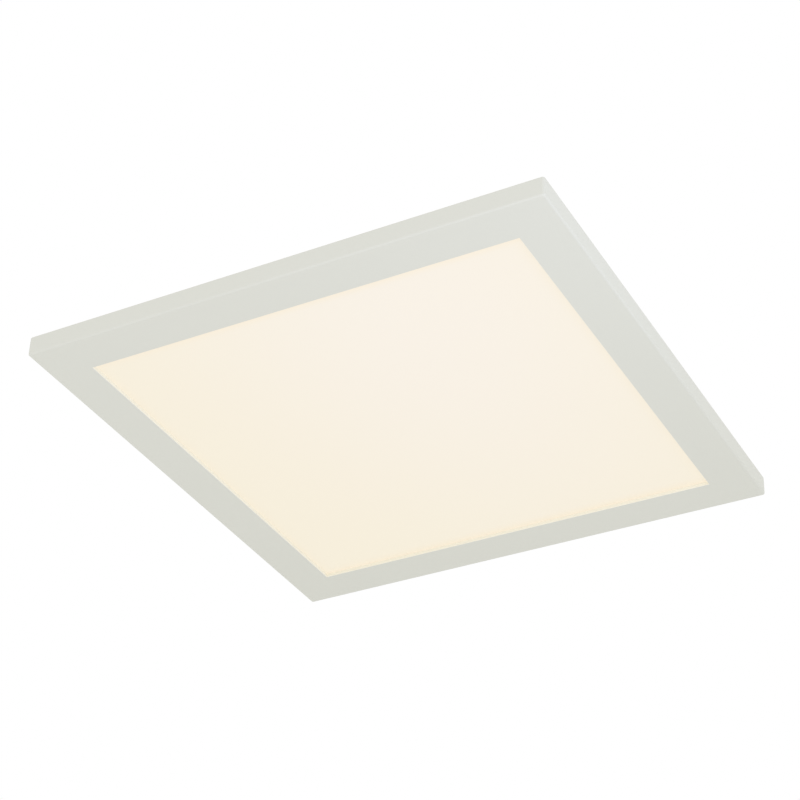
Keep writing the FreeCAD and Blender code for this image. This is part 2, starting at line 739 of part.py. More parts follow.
def driver_choke():
    """Ring-core choke on the mains side of the board."""
    x = -3 * driver_end / 4
    z = (board_top, board_top + choke_height)
    return post(choke_diameter, x, driver_y, z).cut(post(choke_diameter / 2, x, driver_y, z))


def driver_screws():
    """Screws through the driver's ears into the floor collars."""
    seat = collar_top + driver_ear_thickness
    length = driver_ear_thickness + collar_height
    return [pan_screw(driver_screw_diameter, length, s * driver_screw_x, driver_y, seat) for s in (-1, 1)]


# ---- mains terminal ------------------------------------------------------------------------------
def terminal_block():
    """Moulded block with a wire entry, a lead entry, a contact cavity and a button well per pole."""
    body = span((terminal_rear, terminal_mouth), (terminal_y - terminal_half_y, terminal_y + terminal_half_y),
                (floor_top, terminal_top))
    body = body.makeFillet(terminal_end_wall / 2, edges_at(body, terminal_top, lambda c: True))
    ear_z = (collar_top, collar_top + terminal_ear_thickness)
    ears = [centred(terminal_x, y, terminal_ear_width, terminal_ear_length, ear_z) for y in terminal_screw_y]
    cuts = [post(driver_screw_diameter + 2 * screw_clearance, terminal_x, y, ear_z) for y in terminal_screw_y]
    for y in pole_ys:
        cuts.append(rod(wire_entry_diameter, V(cavity_x[1], y, wire_z), V(terminal_mouth, y, wire_z)))
        cuts.append(rod(mains_lead_diameter + 2 * lead_clearance, V(terminal_rear, y, wire_z),
                        V(cavity_x[0], y, wire_z)))
        cuts.append(span(cavity_x, (y - cavity_width / 2, y + cavity_width / 2), (cavity_bottom, cavity_top)))
        cuts.append(centred(button_x, y, well_side, well_side, (well_bottom, terminal_top)))
        stem_hole = stem_side + 2 * button_clearance
        cuts.append(centred(button_x, y, stem_hole, stem_hole, (cavity_top, well_bottom)))
    return body.fuse(ears).cut(cuts)


def release_button(y):
    """Push button of one pole: a cap in its well and a stem that reaches into the contact cavity."""
    cap_bottom, cap_top = well_bottom + button_travel + button_clearance, terminal_top + button_proud
    side = well_side - 2 * button_clearance
    cap = centred(button_x, y, side, side, (cap_bottom, cap_top))
    cap = cap.makeFillet(2 * button_clearance, edges_at(cap, cap_top, lambda c: True))
    stem_bottom = wire_z + mains_lead_diameter / 2 + button_travel / 2
    return cap.fuse(centred(button_x, y, stem_side, stem_side, (stem_bottom, cap_bottom)))


def terminal_contacts():
    """Folded copper contacts, one in each pole's cavity."""
    base = cavity_bottom + contact_thickness / 2
    top = wire_z - mains_lead_diameter / 2 - contact_thickness
    inset = 2 * contact_thickness
    left, right = cavity_x[0] + inset, cavity_x[1] - inset
    return [folded_strip([V(left, y, top), V(left, y, base), V(right, y, base), V(right, y, top)],
                         contact_thickness, contact_width, contact_thickness) for y in pole_ys]


def terminal_screws():
    """Screws through the block's ears into the floor collars."""
    seat = collar_top + terminal_ear_thickness
    length = terminal_ear_thickness + collar_height
    return [pan_screw(driver_screw_diameter, length, terminal_x, y, seat) for y in terminal_screw_y]


# ---- earth point ---------------------------------------------------------------------------------
def earth_washer():
    """Washer between the floor collar and the ring terminal."""
    z = (collar_top, collar_top + earth_washer_thickness)
    hole = post(earth_screw_diameter + 2 * screw_clearance, earth_x, earth_y, z)
    return post(earth_washer_diameter, earth_x, earth_y, z).cut(hole)


def earth_ring():
    """Ring terminal with its barrel towards the terminal block."""
    z0 = collar_top + earth_washer_thickness
    z = (z0, z0 + earth_ring_thickness)
    ring = post(earth_ring_diameter, earth_x, earth_y, z)
    start = earth_y - earth_ring_diameter / 2
    tongue = span((earth_x - earth_barrel_diameter / 2, earth_x + earth_barrel_diameter / 2),
                  (start - earth_barrel_length / 3, earth_y), z)
    axis_z = z0 + earth_barrel_diameter / 2
    barrel = rod(earth_barrel_diameter, V(earth_x, start - earth_barrel_length, axis_z),
                 V(earth_x, start - earth_barrel_length / 4, axis_z))
    bore = rod(mains_lead_diameter, V(earth_x, start - earth_barrel_length, axis_z),
               V(earth_x, start - earth_barrel_length / 3, axis_z))
    hole = post(earth_screw_diameter + 2 * screw_clearance, earth_x, earth_y, z)
    return ring.fuse([tongue, barrel]).cut([bore, hole])


def earth_screw():
    """Screw that holds the ring terminal on its collar."""
    seat = collar_top + earth_washer_thickness + earth_ring_thickness
    return pan_screw(earth_screw_diameter, seat - floor_bottom, earth_x, earth_y, seat)


# ---- leads ---------------------------------------------------------------------------------------
def mains_lead(y_start, run_x, pole_y):
    """From the driver's mains end, along the housing's left wall, into a pole of the terminal block."""
    z = board_top + mains_lead_diameter / 2 + lead_clearance / 3
    inside = 2 * (driver_wall + driver_board_clearance) - driver_end
    points = [V(inside, y_start, z), V(run_x, y_start, z), V(run_x, pole_y, wire_z),
              V(cavity_x[0], pole_y, wire_z)]
    return lead(points, mains_lead_diameter, [open_bend, open_bend])


def earth_lead():
    """From the earth pole to the ring terminal's barrel."""
    axis_z = collar_top + earth_washer_thickness + earth_barrel_diameter / 2
    end_y = earth_y - earth_ring_diameter / 2 - earth_barrel_length / 3
    points = [V(cavity_x[0], pole_ys[-1], wire_z), V(earth_x, pole_ys[-1], wire_z),
              V(earth_x, end_y - 2 * earth_barrel_length, axis_z), V(earth_x, end_y, axis_z)]
    return lead(points, mains_lead_diameter, [open_bend / 2, open_bend])


def dc_lead(side):
    """From the driver's output, down through the grommet, to the LED board on one side."""
    z = board_top + dc_lead_diameter / 2 + lead_clearance / 3
    inside = driver_end - 2 * (driver_wall + driver_board_clearance)
    y_start, x_hole = driver_y + side * lead_spread / 2, lead_hole_x + side * dc_pitch / 2
    x_clear = driver_end + driver_ear_length
    x_end = side * (board_inner + spreader_inner) / 2
    x_drop = x_end - side * dc_drop_run
    points = [V(inside, y_start, z), V(x_clear, y_start, z), V(x_hole, driver_y, z),
              V(x_hole, driver_y, foam_lead_z), V(x_hole, channel_y, foam_lead_z),
              V(x_drop - side * dc_drop_run, channel_y, foam_lead_z), V(x_drop, channel_y, strip_z),
              V(x_end, channel_y, strip_z), V(x_end, strip_reach, strip_z)]
    radii = [open_bend, open_bend / 2, tight_bend, open_bend / 4, open_bend, open_bend, tight_bend]
    return lead(points, dc_lead_diameter, radii)


def strip_link_lead():
    """Joins the two LED boards at the front edge, along the channel beside the rib."""
    x_end = (board_inner + spreader_inner) / 2
    points = [V(x_end, -strip_reach, strip_z), V(x_end, -channel_y, strip_z),
              V(-x_end, -channel_y, strip_z), V(-x_end, -strip_reach, strip_z)]
    return lead(points, dc_lead_diameter, [tight_bend, tight_bend])


# ---- the whole light, one node per kind of piece -------------------------------------------------
def build():
    """Every node's name and its solids."""
    nodes = {
        "ceiling_plate": ceiling_plate(),
        "cable_bushing": cable_bushing(),
        "spring_clip_right": spring_clip(),
        "spring_clip_left": mirrored(spring_clip()),
        "clip_rivets": clip_rivets(),
        "front_frame": front_frame(),
        "opal_diffuser": opal_diffuser(),
        "light_guide": light_guide(),
        "reflector_sheet": reflector_sheet(),
        "foam_pad": foam_pad(),
        "back_plate": back_plate(),
        "back_plate_screws": back_plate_screws(),
        "heat_spreader_right": heat_spreader(),
        "heat_spreader_left": mirrored(heat_spreader()),
        "led_board_right": led_board(),
        "led_board_left": mirrored(led_board()),
        "led_chips_right": led_chips(),
        "led_chips_left": [mirrored(chip) for chip in led_chips()],
        "clinch_nuts": clinch_nuts(),
        "rear_housing": rear_housing(),
        "housing_screws": housing_screws(),
        "lead_grommet": lead_grommet(),
        "driver_base": driver_base(),
        "driver_lid": driver_lid(),
        "driver_board": driver_board(),
        "driver_transformer": driver_transformer(),
        "transformer_winding": transformer_winding(),
        "driver_capacitors": driver_capacitors(),
        "driver_choke": driver_choke(),
        "driver_screws": driver_screws(),
        "terminal_block": terminal_block(),
        "terminal_contacts": terminal_contacts(),
        "terminal_screws": terminal_screws(),
        "live_release_button": release_button(pole_ys[1]),
        "neutral_release_button": release_button(pole_ys[0]),
        "earth_release_button": release_button(pole_ys[2]),
        "earth_washer": earth_washer(),
        "earth_ring": earth_ring(),
        "earth_screw": earth_screw(),
        "earth_lead": earth_lead(),
        "live_lead": mains_lead(driver_y - lead_spread / 2, live_run_x, pole_ys[1]),
        "neutral_lead": mains_lead(driver_y + lead_spread / 2, neutral_run_x, pole_ys[0]),
        "dc_lead_positive": dc_lead(1),
        "dc_lead_negative": dc_lead(-1),
        "strip_link_lead": strip_link_lead(),
    }
    return nodes


def export(nodes):
    """One STEP file per node."""
    os.makedirs("parts", exist_ok=True)
    for name, made in nodes.items():
        solids = [s for piece in (made if isinstance(made, list) else [made]) for s in piece.Solids]
        shape = solids[0] if len(solids) == 1 else Part.makeCompound(solids)
        shape.exportStep("parts/" + name + ".step")
        state = "valid" if all(s.isValid() for s in solids) else "NOT VALID"
        print(f"{name:24s} {len(solids):3d} solid(s) {sum(s.Volume for s in solids):12.2f} mm3  {state}")


export(build())
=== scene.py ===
"""Looks of a square flush-mount ceiling light: an edge-lit panel on a shallow sheet-steel housing.

Metres, in the packed model's frame: the ceiling is the plane z = 0, +Z points up into it, and the lit face
is the lowest one and looks down. Solids whose shape is right keep it and get their finish here. Pieces with
a finer form than their solid are worked out here as surfaces, and stand for that solid.
"""
import math

import bmesh
import bpy
import numpy as np
from bpy.props import FloatProperty, FloatVectorProperty, IntProperty, PointerProperty
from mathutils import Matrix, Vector


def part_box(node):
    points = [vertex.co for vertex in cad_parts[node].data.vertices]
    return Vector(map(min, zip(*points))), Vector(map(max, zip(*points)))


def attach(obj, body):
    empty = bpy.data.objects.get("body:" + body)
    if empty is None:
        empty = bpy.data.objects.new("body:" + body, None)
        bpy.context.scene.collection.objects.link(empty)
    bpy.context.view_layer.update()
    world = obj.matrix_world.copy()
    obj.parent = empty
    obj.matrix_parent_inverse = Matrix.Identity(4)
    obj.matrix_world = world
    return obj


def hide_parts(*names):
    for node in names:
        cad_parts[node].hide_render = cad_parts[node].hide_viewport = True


bl_info = {
    "name": "Flush Ceiling Light",
    "version": (1, 0, 0),
    "blender": (4, 5, 0),
    "location": "3D View > Sidebar > Ceiling Light",
    "description": "Finishes and lights a square edge-lit ceiling light",
    "category": "Object",
}

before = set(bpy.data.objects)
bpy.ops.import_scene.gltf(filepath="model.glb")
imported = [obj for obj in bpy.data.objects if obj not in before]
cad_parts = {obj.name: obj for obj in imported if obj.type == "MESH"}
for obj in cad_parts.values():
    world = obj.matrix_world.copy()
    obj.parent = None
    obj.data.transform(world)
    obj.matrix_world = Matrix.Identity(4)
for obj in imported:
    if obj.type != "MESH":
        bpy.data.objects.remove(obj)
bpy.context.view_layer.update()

MM = 0.001
MIX_LOW, MIX_HIGH, MIX_RESULT = 6, 7, 2      # the colour sockets of a Mix node
SMOOTH_BELOW = math.radians(35)              # edges that bend by less are shaded round
SAME_PLACE = 0.001 * MM                      # points nearer to each other than this are merged
OPENING_HALF = 123.1 * MM                    # from the middle of the face to the frame's lip
PACKAGES = 30                                # LED packages on each strip
LAMP_SIDE = 0.25                             # of both square lamps
FLOOR_REACH = 8.0                            # from the floor's middle to its sides


def linear(code):
    """Linear RGBA of an sRGB hex colour."""
    shares = [int(code[i:i + 2], 16) / 255 for i in (1, 3, 5)]
    return tuple(s / 12.92 if s <= 0.04045 else ((s + 0.055) / 1.055) ** 2.4 for s in shares) + (1.0,)


def scaled(colour, share):
    """A colour made lighter or darker by one share of its light."""
    return tuple(share * c for c in colour[:3]) + (1.0,)


# ---- sizes and colours that a user may change ----
def colour_setting(name, description, code):
    """A colour in a settings group, given by its sRGB hex value."""
    return FloatVectorProperty(name=name, description=description, default=linear(code), size=4,
                               min=0.0, max=1.0, subtype="COLOR")


def length_setting(name, description, millimetres):
    """A length in a settings group, given in millimetres and kept in metres."""
    return FloatProperty(name=name, description=description, default=millimetres * MM, min=0.0,
                         precision=5, unit="LENGTH", subtype="DISTANCE")


def share_setting(name, description, default):
    """A share from 0 to 1 in a settings group."""
    return FloatProperty(name=name, description=description, default=default, min=0.0, max=1.0,
                         subtype="FACTOR")


def light_setting(name, description, default, unit="NONE"):
    """A strength or a power of light in a settings group."""
    return FloatProperty(name=name, description=description, default=default, min=0.0, max=500.0, unit=unit)


def place_setting(name, description, default):
    """A place or a reach along X, Y and Z in a settings group, in metres."""
    return FloatVectorProperty(name=name, description=description, default=default, size=3, unit="LENGTH",
                               subtype="TRANSLATION")


class PanelSettings(bpy.types.PropertyGroup):
    """The front frame and the lit sheet."""
    frame_colour: colour_setting("Frame", "Moulded front frame", "#DDDDD2")
    frame_roughness: share_setting("Frame roughness", "Of the moulded texture", 0.42)
    frame_grain: length_setting("Frame grain", "Size of the spark-eroded texture's pits", 0.7)
    # painted light: the lit sheet's light falling on the frame's thin lip, given as a glow of the frame
    end_lip_painted_light: colour_setting("End lip glow", "Light that the lip takes up, front and rear", "#746955")
    side_lip_painted_light: colour_setting("Side lip glow", "The same along the LED strips, left and right",
                                  "#797167")
    sheet_body: colour_setting("Sheet body", "Opal acrylic with its light switched off", "#A6A49E")
    sheet_glow: colour_setting("Sheet glow", "The sheet's light at its whitest place", "#C4BBAE")
    far_glow: colour_setting("Far glow", "The sheet's warmer light far from that place", "#C3B9A2")
    # partly painted shade: the frame's lip shading the sheet's edge, mixed into the sheet's warmer edge light
    rim_glow_and_lip_shade: colour_setting("Rim glow", "The sheet's light along the edge of the opening", "#C5B79E")
    glow_level: light_setting("Glow level", "Strength of the sheet's light", 1.0)
    glow_middle: place_setting("Whitest place", "Where the sheet's light is whitest", (0.047, -0.081, 0.0))
    glow_reach: place_setting("Glow reach", "From there to the far glow", (0.2, 0.32, 1.0))
    rim_width: length_setting("Rim", "Warmer band of light along the edge of the opening", 8.0)
    side_rim: share_setting("Side rim", "Share of that warmth along the LED strips", 0.3)


class MetalSettings(bpy.types.PropertyGroup):
    """Sheet metal and its coats."""
    coat_colour: colour_setting("Powder coat", "Rear housing and back plate", "#D9D8D2")
    coat_grain: length_setting("Orange peel", "Size of the powder coat's waves", 1.6)
    zinc_colour: colour_setting("Zinc", "Galvanised ceiling plate", "#B9BDC0")
    spangle: length_setting("Spangle", "Size of the zinc's crystals", 7.0)


class ElectricSettings(bpy.types.PropertyGroup):
    """LED packages, the driver's wound parts, the marks and the earth lead."""
    package_length: length_setting("Package length", "Length of an LED package along its strip", 3.5)
    package_rim: length_setting("Package rim", "Wall of an LED package round its window", 0.45)
    window_depth: length_setting("Window depth", "From an LED package's face to its phosphor", 0.25)
    choke_turns: IntProperty(name="Choke turns", description="Turns of wire on each half of the ring",
                             default=9, min=3, max=30)
    choke_wire: length_setting("Choke wire", "Diameter of the enamelled wire", 0.85)
    mark_size: length_setting("Mark size", "Height of the letters and of the earth sign", 5.5)
    mark_height: length_setting("Mark relief", "How far the marks stand out", 0.3)
    sign_offset: length_setting("Earth sign", "From the earth screw to the sign beside it", 12.0)
    lead_diameter: length_setting("Earth lead", "Diameter over the insulation", 2.2)
    tape_layers: IntProperty(name="Tape layers", description="Turns of tape that show on the coil",
                             default=5, min=1, max=20)


class StageSettings(bpy.types.PropertyGroup):
    """Camera, lamps and floor."""
    camera_place: place_setting("Camera", "The camera's place", (0.46292, -0.84365, -0.6813))
    camera_turn: FloatVectorProperty(name="Camera turn", description="The camera's rotation about X, Y, Z",
                                     default=tuple(map(math.radians, (124.026, -1.531, 28.121))),
                                     size=3, unit="ROTATION", subtype="EULER")
    camera_lens: FloatProperty(name="Lens", description="Focal length on a 36 mm sensor", default=95.77,
                               min=10.0, max=300.0, unit="CAMERA")
    room_level: light_setting("Room light", "Strength of the light from all round", 0.905)
    right_place: place_setting("Right lamp", "The right-hand lamp's place", (0.34, -0.12, -0.135))
    right_power: light_setting("Right power", "The right-hand lamp's power", 0.15, "POWER")
    right_colour: colour_setting("Right colour", "Cool daylight from the right", "#CCD8FF")
    front_place: place_setting("Front lamp", "The front lamp's place", (0.175, -0.595, -0.685))
    front_power: light_setting("Front power", "The front lamp's power", 1.48, "POWER")
    front_colour: colour_setting("Front colour", "Daylight from the front", "#E1E4FF")
    floor_drop: length_setting("Floor", "From the ceiling down to the floor", 1600.0)


# ---- shader helpers ----
def add_node(tree, kind, inputs=None, feeds=None, **settings):
    """Adds a shader node and returns its outputs. inputs gives each of its sockets a value, or the output
    that feeds it, and feeds gives an output the socket that it feeds."""
    node = tree.nodes.new("ShaderNode" + kind)
    for name, value in settings.items():
        setattr(node, name, value)
    for socket, value in (inputs or {}).items():
        if isinstance(value, bpy.types.NodeSocket):
            tree.links.new(value, node.inputs[socket])
        else:
            node.inputs[socket].default_value = value
    for output, socket in (feeds or {}).items():
        tree.links.new(node.outputs[output], socket)
    return node.outputs


def new_material(name, colour, roughness, **sockets):
    """A material with one shader, and the values that are the same all over it."""
    material = bpy.data.materials.new(name)
    material.use_nodes = True
    tree = material.node_tree
    shader = tree.nodes["Principled BSDF"]
    shader.inputs["Base Color"].default_value = colour
    shader.inputs["Roughness"].default_value = roughness
    for socket, value in sockets.items():
        shader.inputs[socket.replace("_", " ")].default_value = value
    material.diffuse_color = colour
    return material, tree, shader


def counted(tree, size):
    """Object coordinates counted in features of that size, one length or one for each axis."""
    place = add_node(tree, "TexCoord")["Object"]
    scale = tuple(1 / s for s in np.broadcast_to(size, 3))
    return add_node(tree, "Mapping", {"Vector": place, "Scale": scale})["Vector"]


def drift(tree, shader, size, low, high):
    """Lets the colour wander between low and high in soft patches of that size."""
    patches = add_node(tree, "TexNoise", {"Vector": counted(tree, size), "Scale": 1.0, "Detail": 2.0})["Fac"]
    add_node(tree, "Mix", {"Factor": patches, MIX_LOW: low, MIX_HIGH: high},
             {MIX_RESULT: shader.inputs["Base Color"]}, data_type="RGBA")


def pitted(tree, shader, size, depth, detail=2.0):
    """Fine irregular texture: pits of that size and depth. The grain of a mould or a plated coat is finer
    than a picture of the whole light can show, so it is given as coarse as it needs to be seen."""
    noise = add_node(tree, "TexNoise", {"Vector": counted(tree, size), "Scale": 1.0, "Detail": detail})["Fac"]
    add_node(tree, "Bump", {"Height": noise, "Distance": depth}, {"Normal": shader.inputs["Normal"]})


def on_the_way_out(tree, start, end):
    """How far a place is from start to end, each a distance from the panel's middle: first along X, then
    along Y, going smoothly from 0 to 1."""
    place = add_node(tree, "TexCoord")["Object"]
    axes = add_node(tree, "SeparateXYZ", {"Vector": place})
    shares = []
    for axis in "XY":
        out = add_node(tree, "Math", {0: axes[axis]}, operation="ABSOLUTE")[0]
        shares.append(add_node(tree, "MapRange", {"Value": out, "From Min": start, "From Max": end},
                               interpolation_type="SMOOTHSTEP")["Result"])
    return shares


def give(material, *names):
    """Gives the named solids this finish."""
    for name in names:
        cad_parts[name].material_slots[0].material = material


# ---- surface helpers ----
def rounded_rectangle(half_x, half_y, radius, steps):
    """Closed loop in the plane: in each corner a quarter circle of that radius about a point set in from
    both sides by the radius, with steps points to a quarter."""
    angle = np.linspace(0, math.pi / 2, steps) + np.arange(4)[:, None] * math.pi / 2
    side_x = np.array([1, -1, -1, 1])[:, None] * (half_x - radius)
    side_y = np.array([1, 1, -1, -1])[:, None] * (half_y - radius)
    return np.stack([side_x + radius * np.cos(angle), side_y + radius * np.sin(angle)], -1).reshape(-1, 2)


def skin(loops, joined=False):
    """Quads between closed loops, an array of loops x points x 3, with a cap on the first and the last
    loop, or with the last joined to the first."""
    rows, count = loops.shape[:2]
    index = np.arange(rows * count).reshape(rows, count)
    here = index if joined else index[:-1]
    following = np.roll(index, -1, axis=0) if joined else index[1:]
    quads = np.stack([here, np.roll(here, -1, 1), np.roll(following, -1, 1), following], -1)
    caps = [] if joined else [index[0, ::-1].tolist(), index[-1].tolist()]
    return loops.reshape(-1, 3), quads.reshape(-1, 4).tolist() + caps


def turned(profile, steps):
    """Loops of a turned form: each (radius, height) of the profile goes round the Z axis, at
    radius * (cos a, sin a)."""
    angle = np.linspace(0, 2 * math.pi, steps, endpoint=False)
    radius, height = np.array(profile).T
    ring = np.stack([np.cos(angle), np.sin(angle), 0 * angle], -1)
    return radius[:, None, None] * ring + height[:, None, None] * np.array([0, 0, 1])


def tube(path, radius, steps):
    """Loops of a round tube: at each point of the path a circle of that radius, square to the path. Its
    first axis is the one square to the path that is nearest to the way out of the path's middle."""
    along = np.gradient(path, axis=0)
    along /= np.linalg.norm(along, axis=1, keepdims=True)
    out = path - path.mean(axis=0)
    out -= along * np.sum(out * along, axis=1, keepdims=True)
    out /= np.linalg.norm(out, axis=1, keepdims=True)
    side = np.cross(along, out)
    angle = np.linspace(0, 2 * math.pi, steps, endpoint=False)
    ring = np.cos(angle)[:, None] * out[:, None] + np.sin(angle)[:, None] * side[:, None]
    return path[:, None] + radius * ring


def stacked(outlines, heights):
    """Loops up the Z axis: each outline in the plane, at its own height."""
    return np.array([np.column_stack([flat, np.full(len(flat), z)]) for flat, z in zip(outlines, heights)])


def raised(outline, height):
    """A flat form from an outline in the plane, straight up from 0 to the height."""
    return skin(stacked([outline, outline], [0.0, height]))


def together(*shapes):
    """Several forms as one set of points and faces."""
    counts = np.cumsum([0] + [len(points) for points, _ in shapes])
    faces = [[i + start for i in face] for start, (_, faces) in zip(counts, shapes) for face in faces]
    return np.concatenate([points for points, _ in shapes]), faces


def placed(shape, *offsets):
    """The same form at every offset, as one set of points and faces."""
    points, faces = shape
    return together(*[(points + np.array(offset), faces) for offset in offsets])


def new_object(name, data):
    """Puts an object with that data in the scene."""
    made = bpy.data.objects.new(name, data)
    bpy.context.scene.collection.objects.link(made)
    return made


def piece(name, shape, materials, material_of=None, stands_for=()):
    """Makes a finished piece of the light from its points and faces: doubles merged, faces outwards, round
    where the form is round. material_of gives each face's material by its number in materials."""
    points, faces = shape
    mesh = bpy.data.meshes.new(name)
    mesh.from_pydata(points.tolist(), [], faces)
    for material in materials:
        mesh.materials.append(material)
    if material_of is not None:
        mesh.polygons.foreach_set("material_index", material_of)
    work = bmesh.new()
    work.from_mesh(mesh)
    bmesh.ops.remove_doubles(work, verts=work.verts, dist=SAME_PLACE)
    bmesh.ops.recalc_face_normals(work, faces=work.faces)
    work.to_mesh(mesh)
    work.free()
    mesh.polygons.foreach_set("use_smooth", np.ones(len(mesh.polygons), bool))
    mesh.set_sharp_from_angle(angle=SMOOTH_BELOW)
    made = new_object(name, mesh)
    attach(made, "luminaire")
    if stands_for:
        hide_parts(*stands_for)


# ---- finishes ----
def moulded_polycarbonate(settings):
    """Polycarbonate blend from a spark-eroded mould: an even satin white that is a little warm, with a
    soft sheen, and painted light on the thin lip beside the lit sheet, given as a glow."""
    material, tree, shader = new_material("moulded_polycarbonate", settings.frame_colour,
                                          settings.frame_roughness, IOR=1.58, Emission_Strength=1.0)
    drift(tree, shader, 60 * MM, scaled(settings.frame_colour, 0.994), scaled(settings.frame_colour, 1.006))
    pitted(tree, shader, settings.frame_grain, 0.003 * MM)
    # painted light: the emission below stands in for the sheet's light on the lip wall, masked by place
    lit_to, dark_from = OPENING_HALF + 0.05 * MM, OPENING_HALF + 0.35 * MM      # the painted lip light fades out
    side_to, end_from = OPENING_HALF - 0.4 * MM, OPENING_HALF - 0.1 * MM        # its two colours meet
    side, end = on_the_way_out(tree, lit_to, dark_from)
    past_lip = add_node(tree, "Math", {0: side, 1: end}, operation="MAXIMUM")[0]
    at_end = on_the_way_out(tree, side_to, end_from)[1]
    painted_lip_light = add_node(tree, "Mix", {"Factor": at_end, MIX_LOW: settings.side_lip_painted_light,
                                 MIX_HIGH: settings.end_lip_painted_light}, data_type="RGBA")[MIX_RESULT]
    add_node(tree, "Mix", {"Factor": past_lip, MIX_LOW: painted_lip_light, MIX_HIGH: (0, 0, 0, 1)},
             {MIX_RESULT: shader.inputs["Emission Color"]}, data_type="RGBA")
    return material


def lit_opal_acrylic(settings):
    """Cast acrylic filled with fine white particles, lit from behind: a smooth glow under a soft gloss,
    whitest at one place, warmer as the distance from it grows and warmest along the opening, where the
    band is partly the sheet's own edge light and partly painted shade of the frame's lip."""
    material, tree, shader = new_material("lit_opal_acrylic", settings.sheet_body, 0.35, IOR=1.49,
                                          Emission_Strength=settings.glow_level)
    place = add_node(tree, "TexCoord")["Object"]
    away = add_node(tree, "Mapping", {"Vector": place, "Location": settings.glow_middle,
                                      "Scale": settings.glow_reach}, vector_type="TEXTURE")
    distance = add_node(tree, "VectorMath", {0: away[0]}, operation="LENGTH")["Value"]
    far = add_node(tree, "MapRange", {"Value": distance}, interpolation_type="SMOOTHSTEP")["Result"]
    field = add_node(tree, "Mix", {"Factor": far, MIX_LOW: settings.sheet_glow,
                                   MIX_HIGH: settings.far_glow}, data_type="RGBA")[MIX_RESULT]
    # the rim band: partly the sheet's own warmer light at its edge, partly painted shade where the frame's
    # lip shades it
    side, end = on_the_way_out(tree, OPENING_HALF - settings.rim_width, OPENING_HALF)
    side = add_node(tree, "Math", {0: side, 1: settings.side_rim}, operation="MULTIPLY")[0]
    rim = add_node(tree, "Math", {0: side, 1: end}, operation="MAXIMUM")[0]
    add_node(tree, "Mix", {"Factor": rim, MIX_LOW: field, MIX_HIGH: settings.rim_glow_and_lip_shade},
             {MIX_RESULT: shader.inputs["Emission Color"]}, data_type="RGBA")
    pitted(tree, shader, 0.9 * MM, 0.002 * MM)
    return material


def dotted_clear_acrylic():
    """Clear cast acrylic with polished edges and white dots printed on its back: glass-clear, with a
    fine regular grid of dots that turns the edge light downwards."""
    clear, polished, printed = linear("#F2F7F6"), 0.06, 0.7
    pitch, dot, dot_edge = 2.4 * MM, 0.24, 0.28     # a dot's radii are shares of the pitch
    material, tree, shader = new_material("dotted_clear_acrylic", clear, polished, IOR=1.49,
                                          Transmission_Weight=0.85)
    cell = add_node(tree, "VectorMath", {0: counted(tree, pitch)}, operation="FRACTION")[0]
    away = add_node(tree, "VectorMath", {0: cell, 1: (0.5, 0.5, 0.0)}, operation="SUBTRACT")[0]
    flat = add_node(tree, "VectorMath", {0: away, 1: (1.0, 1.0, 0.0)}, operation="MULTIPLY")[0]
    reach = add_node(tree, "VectorMath", {0: flat}, operation="LENGTH")["Value"]
    ink = add_node(tree, "MapRange", {"Value": reach, "From Min": dot, "From Max": dot_edge, "To Min": 1.0,
                                      "To Max": 0.0})["Result"]
    add_node(tree, "Mix", {"Factor": ink, MIX_LOW: clear, MIX_HIGH: linear("#FFFFFF")},
             {MIX_RESULT: shader.inputs["Base Color"]}, data_type="RGBA")
    add_node(tree, "MapRange", {"Value": ink, "To Min": polished, "To Max": printed},
             {"Result": shader.inputs["Roughness"]})
    return material


def white_film():
    """White polyester film with fine voids: a bright even white with a pearly sheen."""
    material, tree, shader = new_material("white_polyester_film", linear("#F1F1EE"), 0.34, IOR=1.64)
    drift(tree, shader, 18 * MM, linear("#EEEEEB"), linear("#F4F4F1"))
    pitted(tree, shader, 1.2 * MM, 0.004 * MM)
    return material


def closed_cell_foam():
    """Cross-linked polyethylene foam, skived from a block: soft mid grey, matt, with its cut cells as a
    fine honeycomb of pits."""
    material, tree, shader = new_material("closed_cell_foam", linear("#8E8F90"), 0.9, IOR=1.5)
    cells = add_node(tree, "TexVoronoi", {"Vector": counted(tree, 0.8 * MM), "Scale": 1.0})["Distance"]
    add_node(tree, "Mix", {"Factor": cells, MIX_LOW: linear("#7C7D7F"), MIX_HIGH: linear("#9C9D9E")},
             {MIX_RESULT: shader.inputs["Base Color"]}, data_type="RGBA")
    add_node(tree, "Bump", {"Height": cells, "Distance": 0.12 * MM}, {"Normal": shader.inputs["Normal"]})
    return material


def powder_coat(settings):
    """Polyester powder baked on sheet metal: an opaque warm white, satin, with the slow waves that are
    called orange peel."""
    material, tree, shader = new_material("white_powder_coat", settings.coat_colour, 0.38, IOR=1.52,
                                          Coat_Weight=0.15, Coat_Roughness=0.25)
    drift(tree, shader, 45 * MM, scaled(settings.coat_colour, 0.985), scaled(settings.coat_colour, 1.01))
    pitted(tree, shader, settings.coat_grain, 0.012 * MM, detail=3.0)
    return material


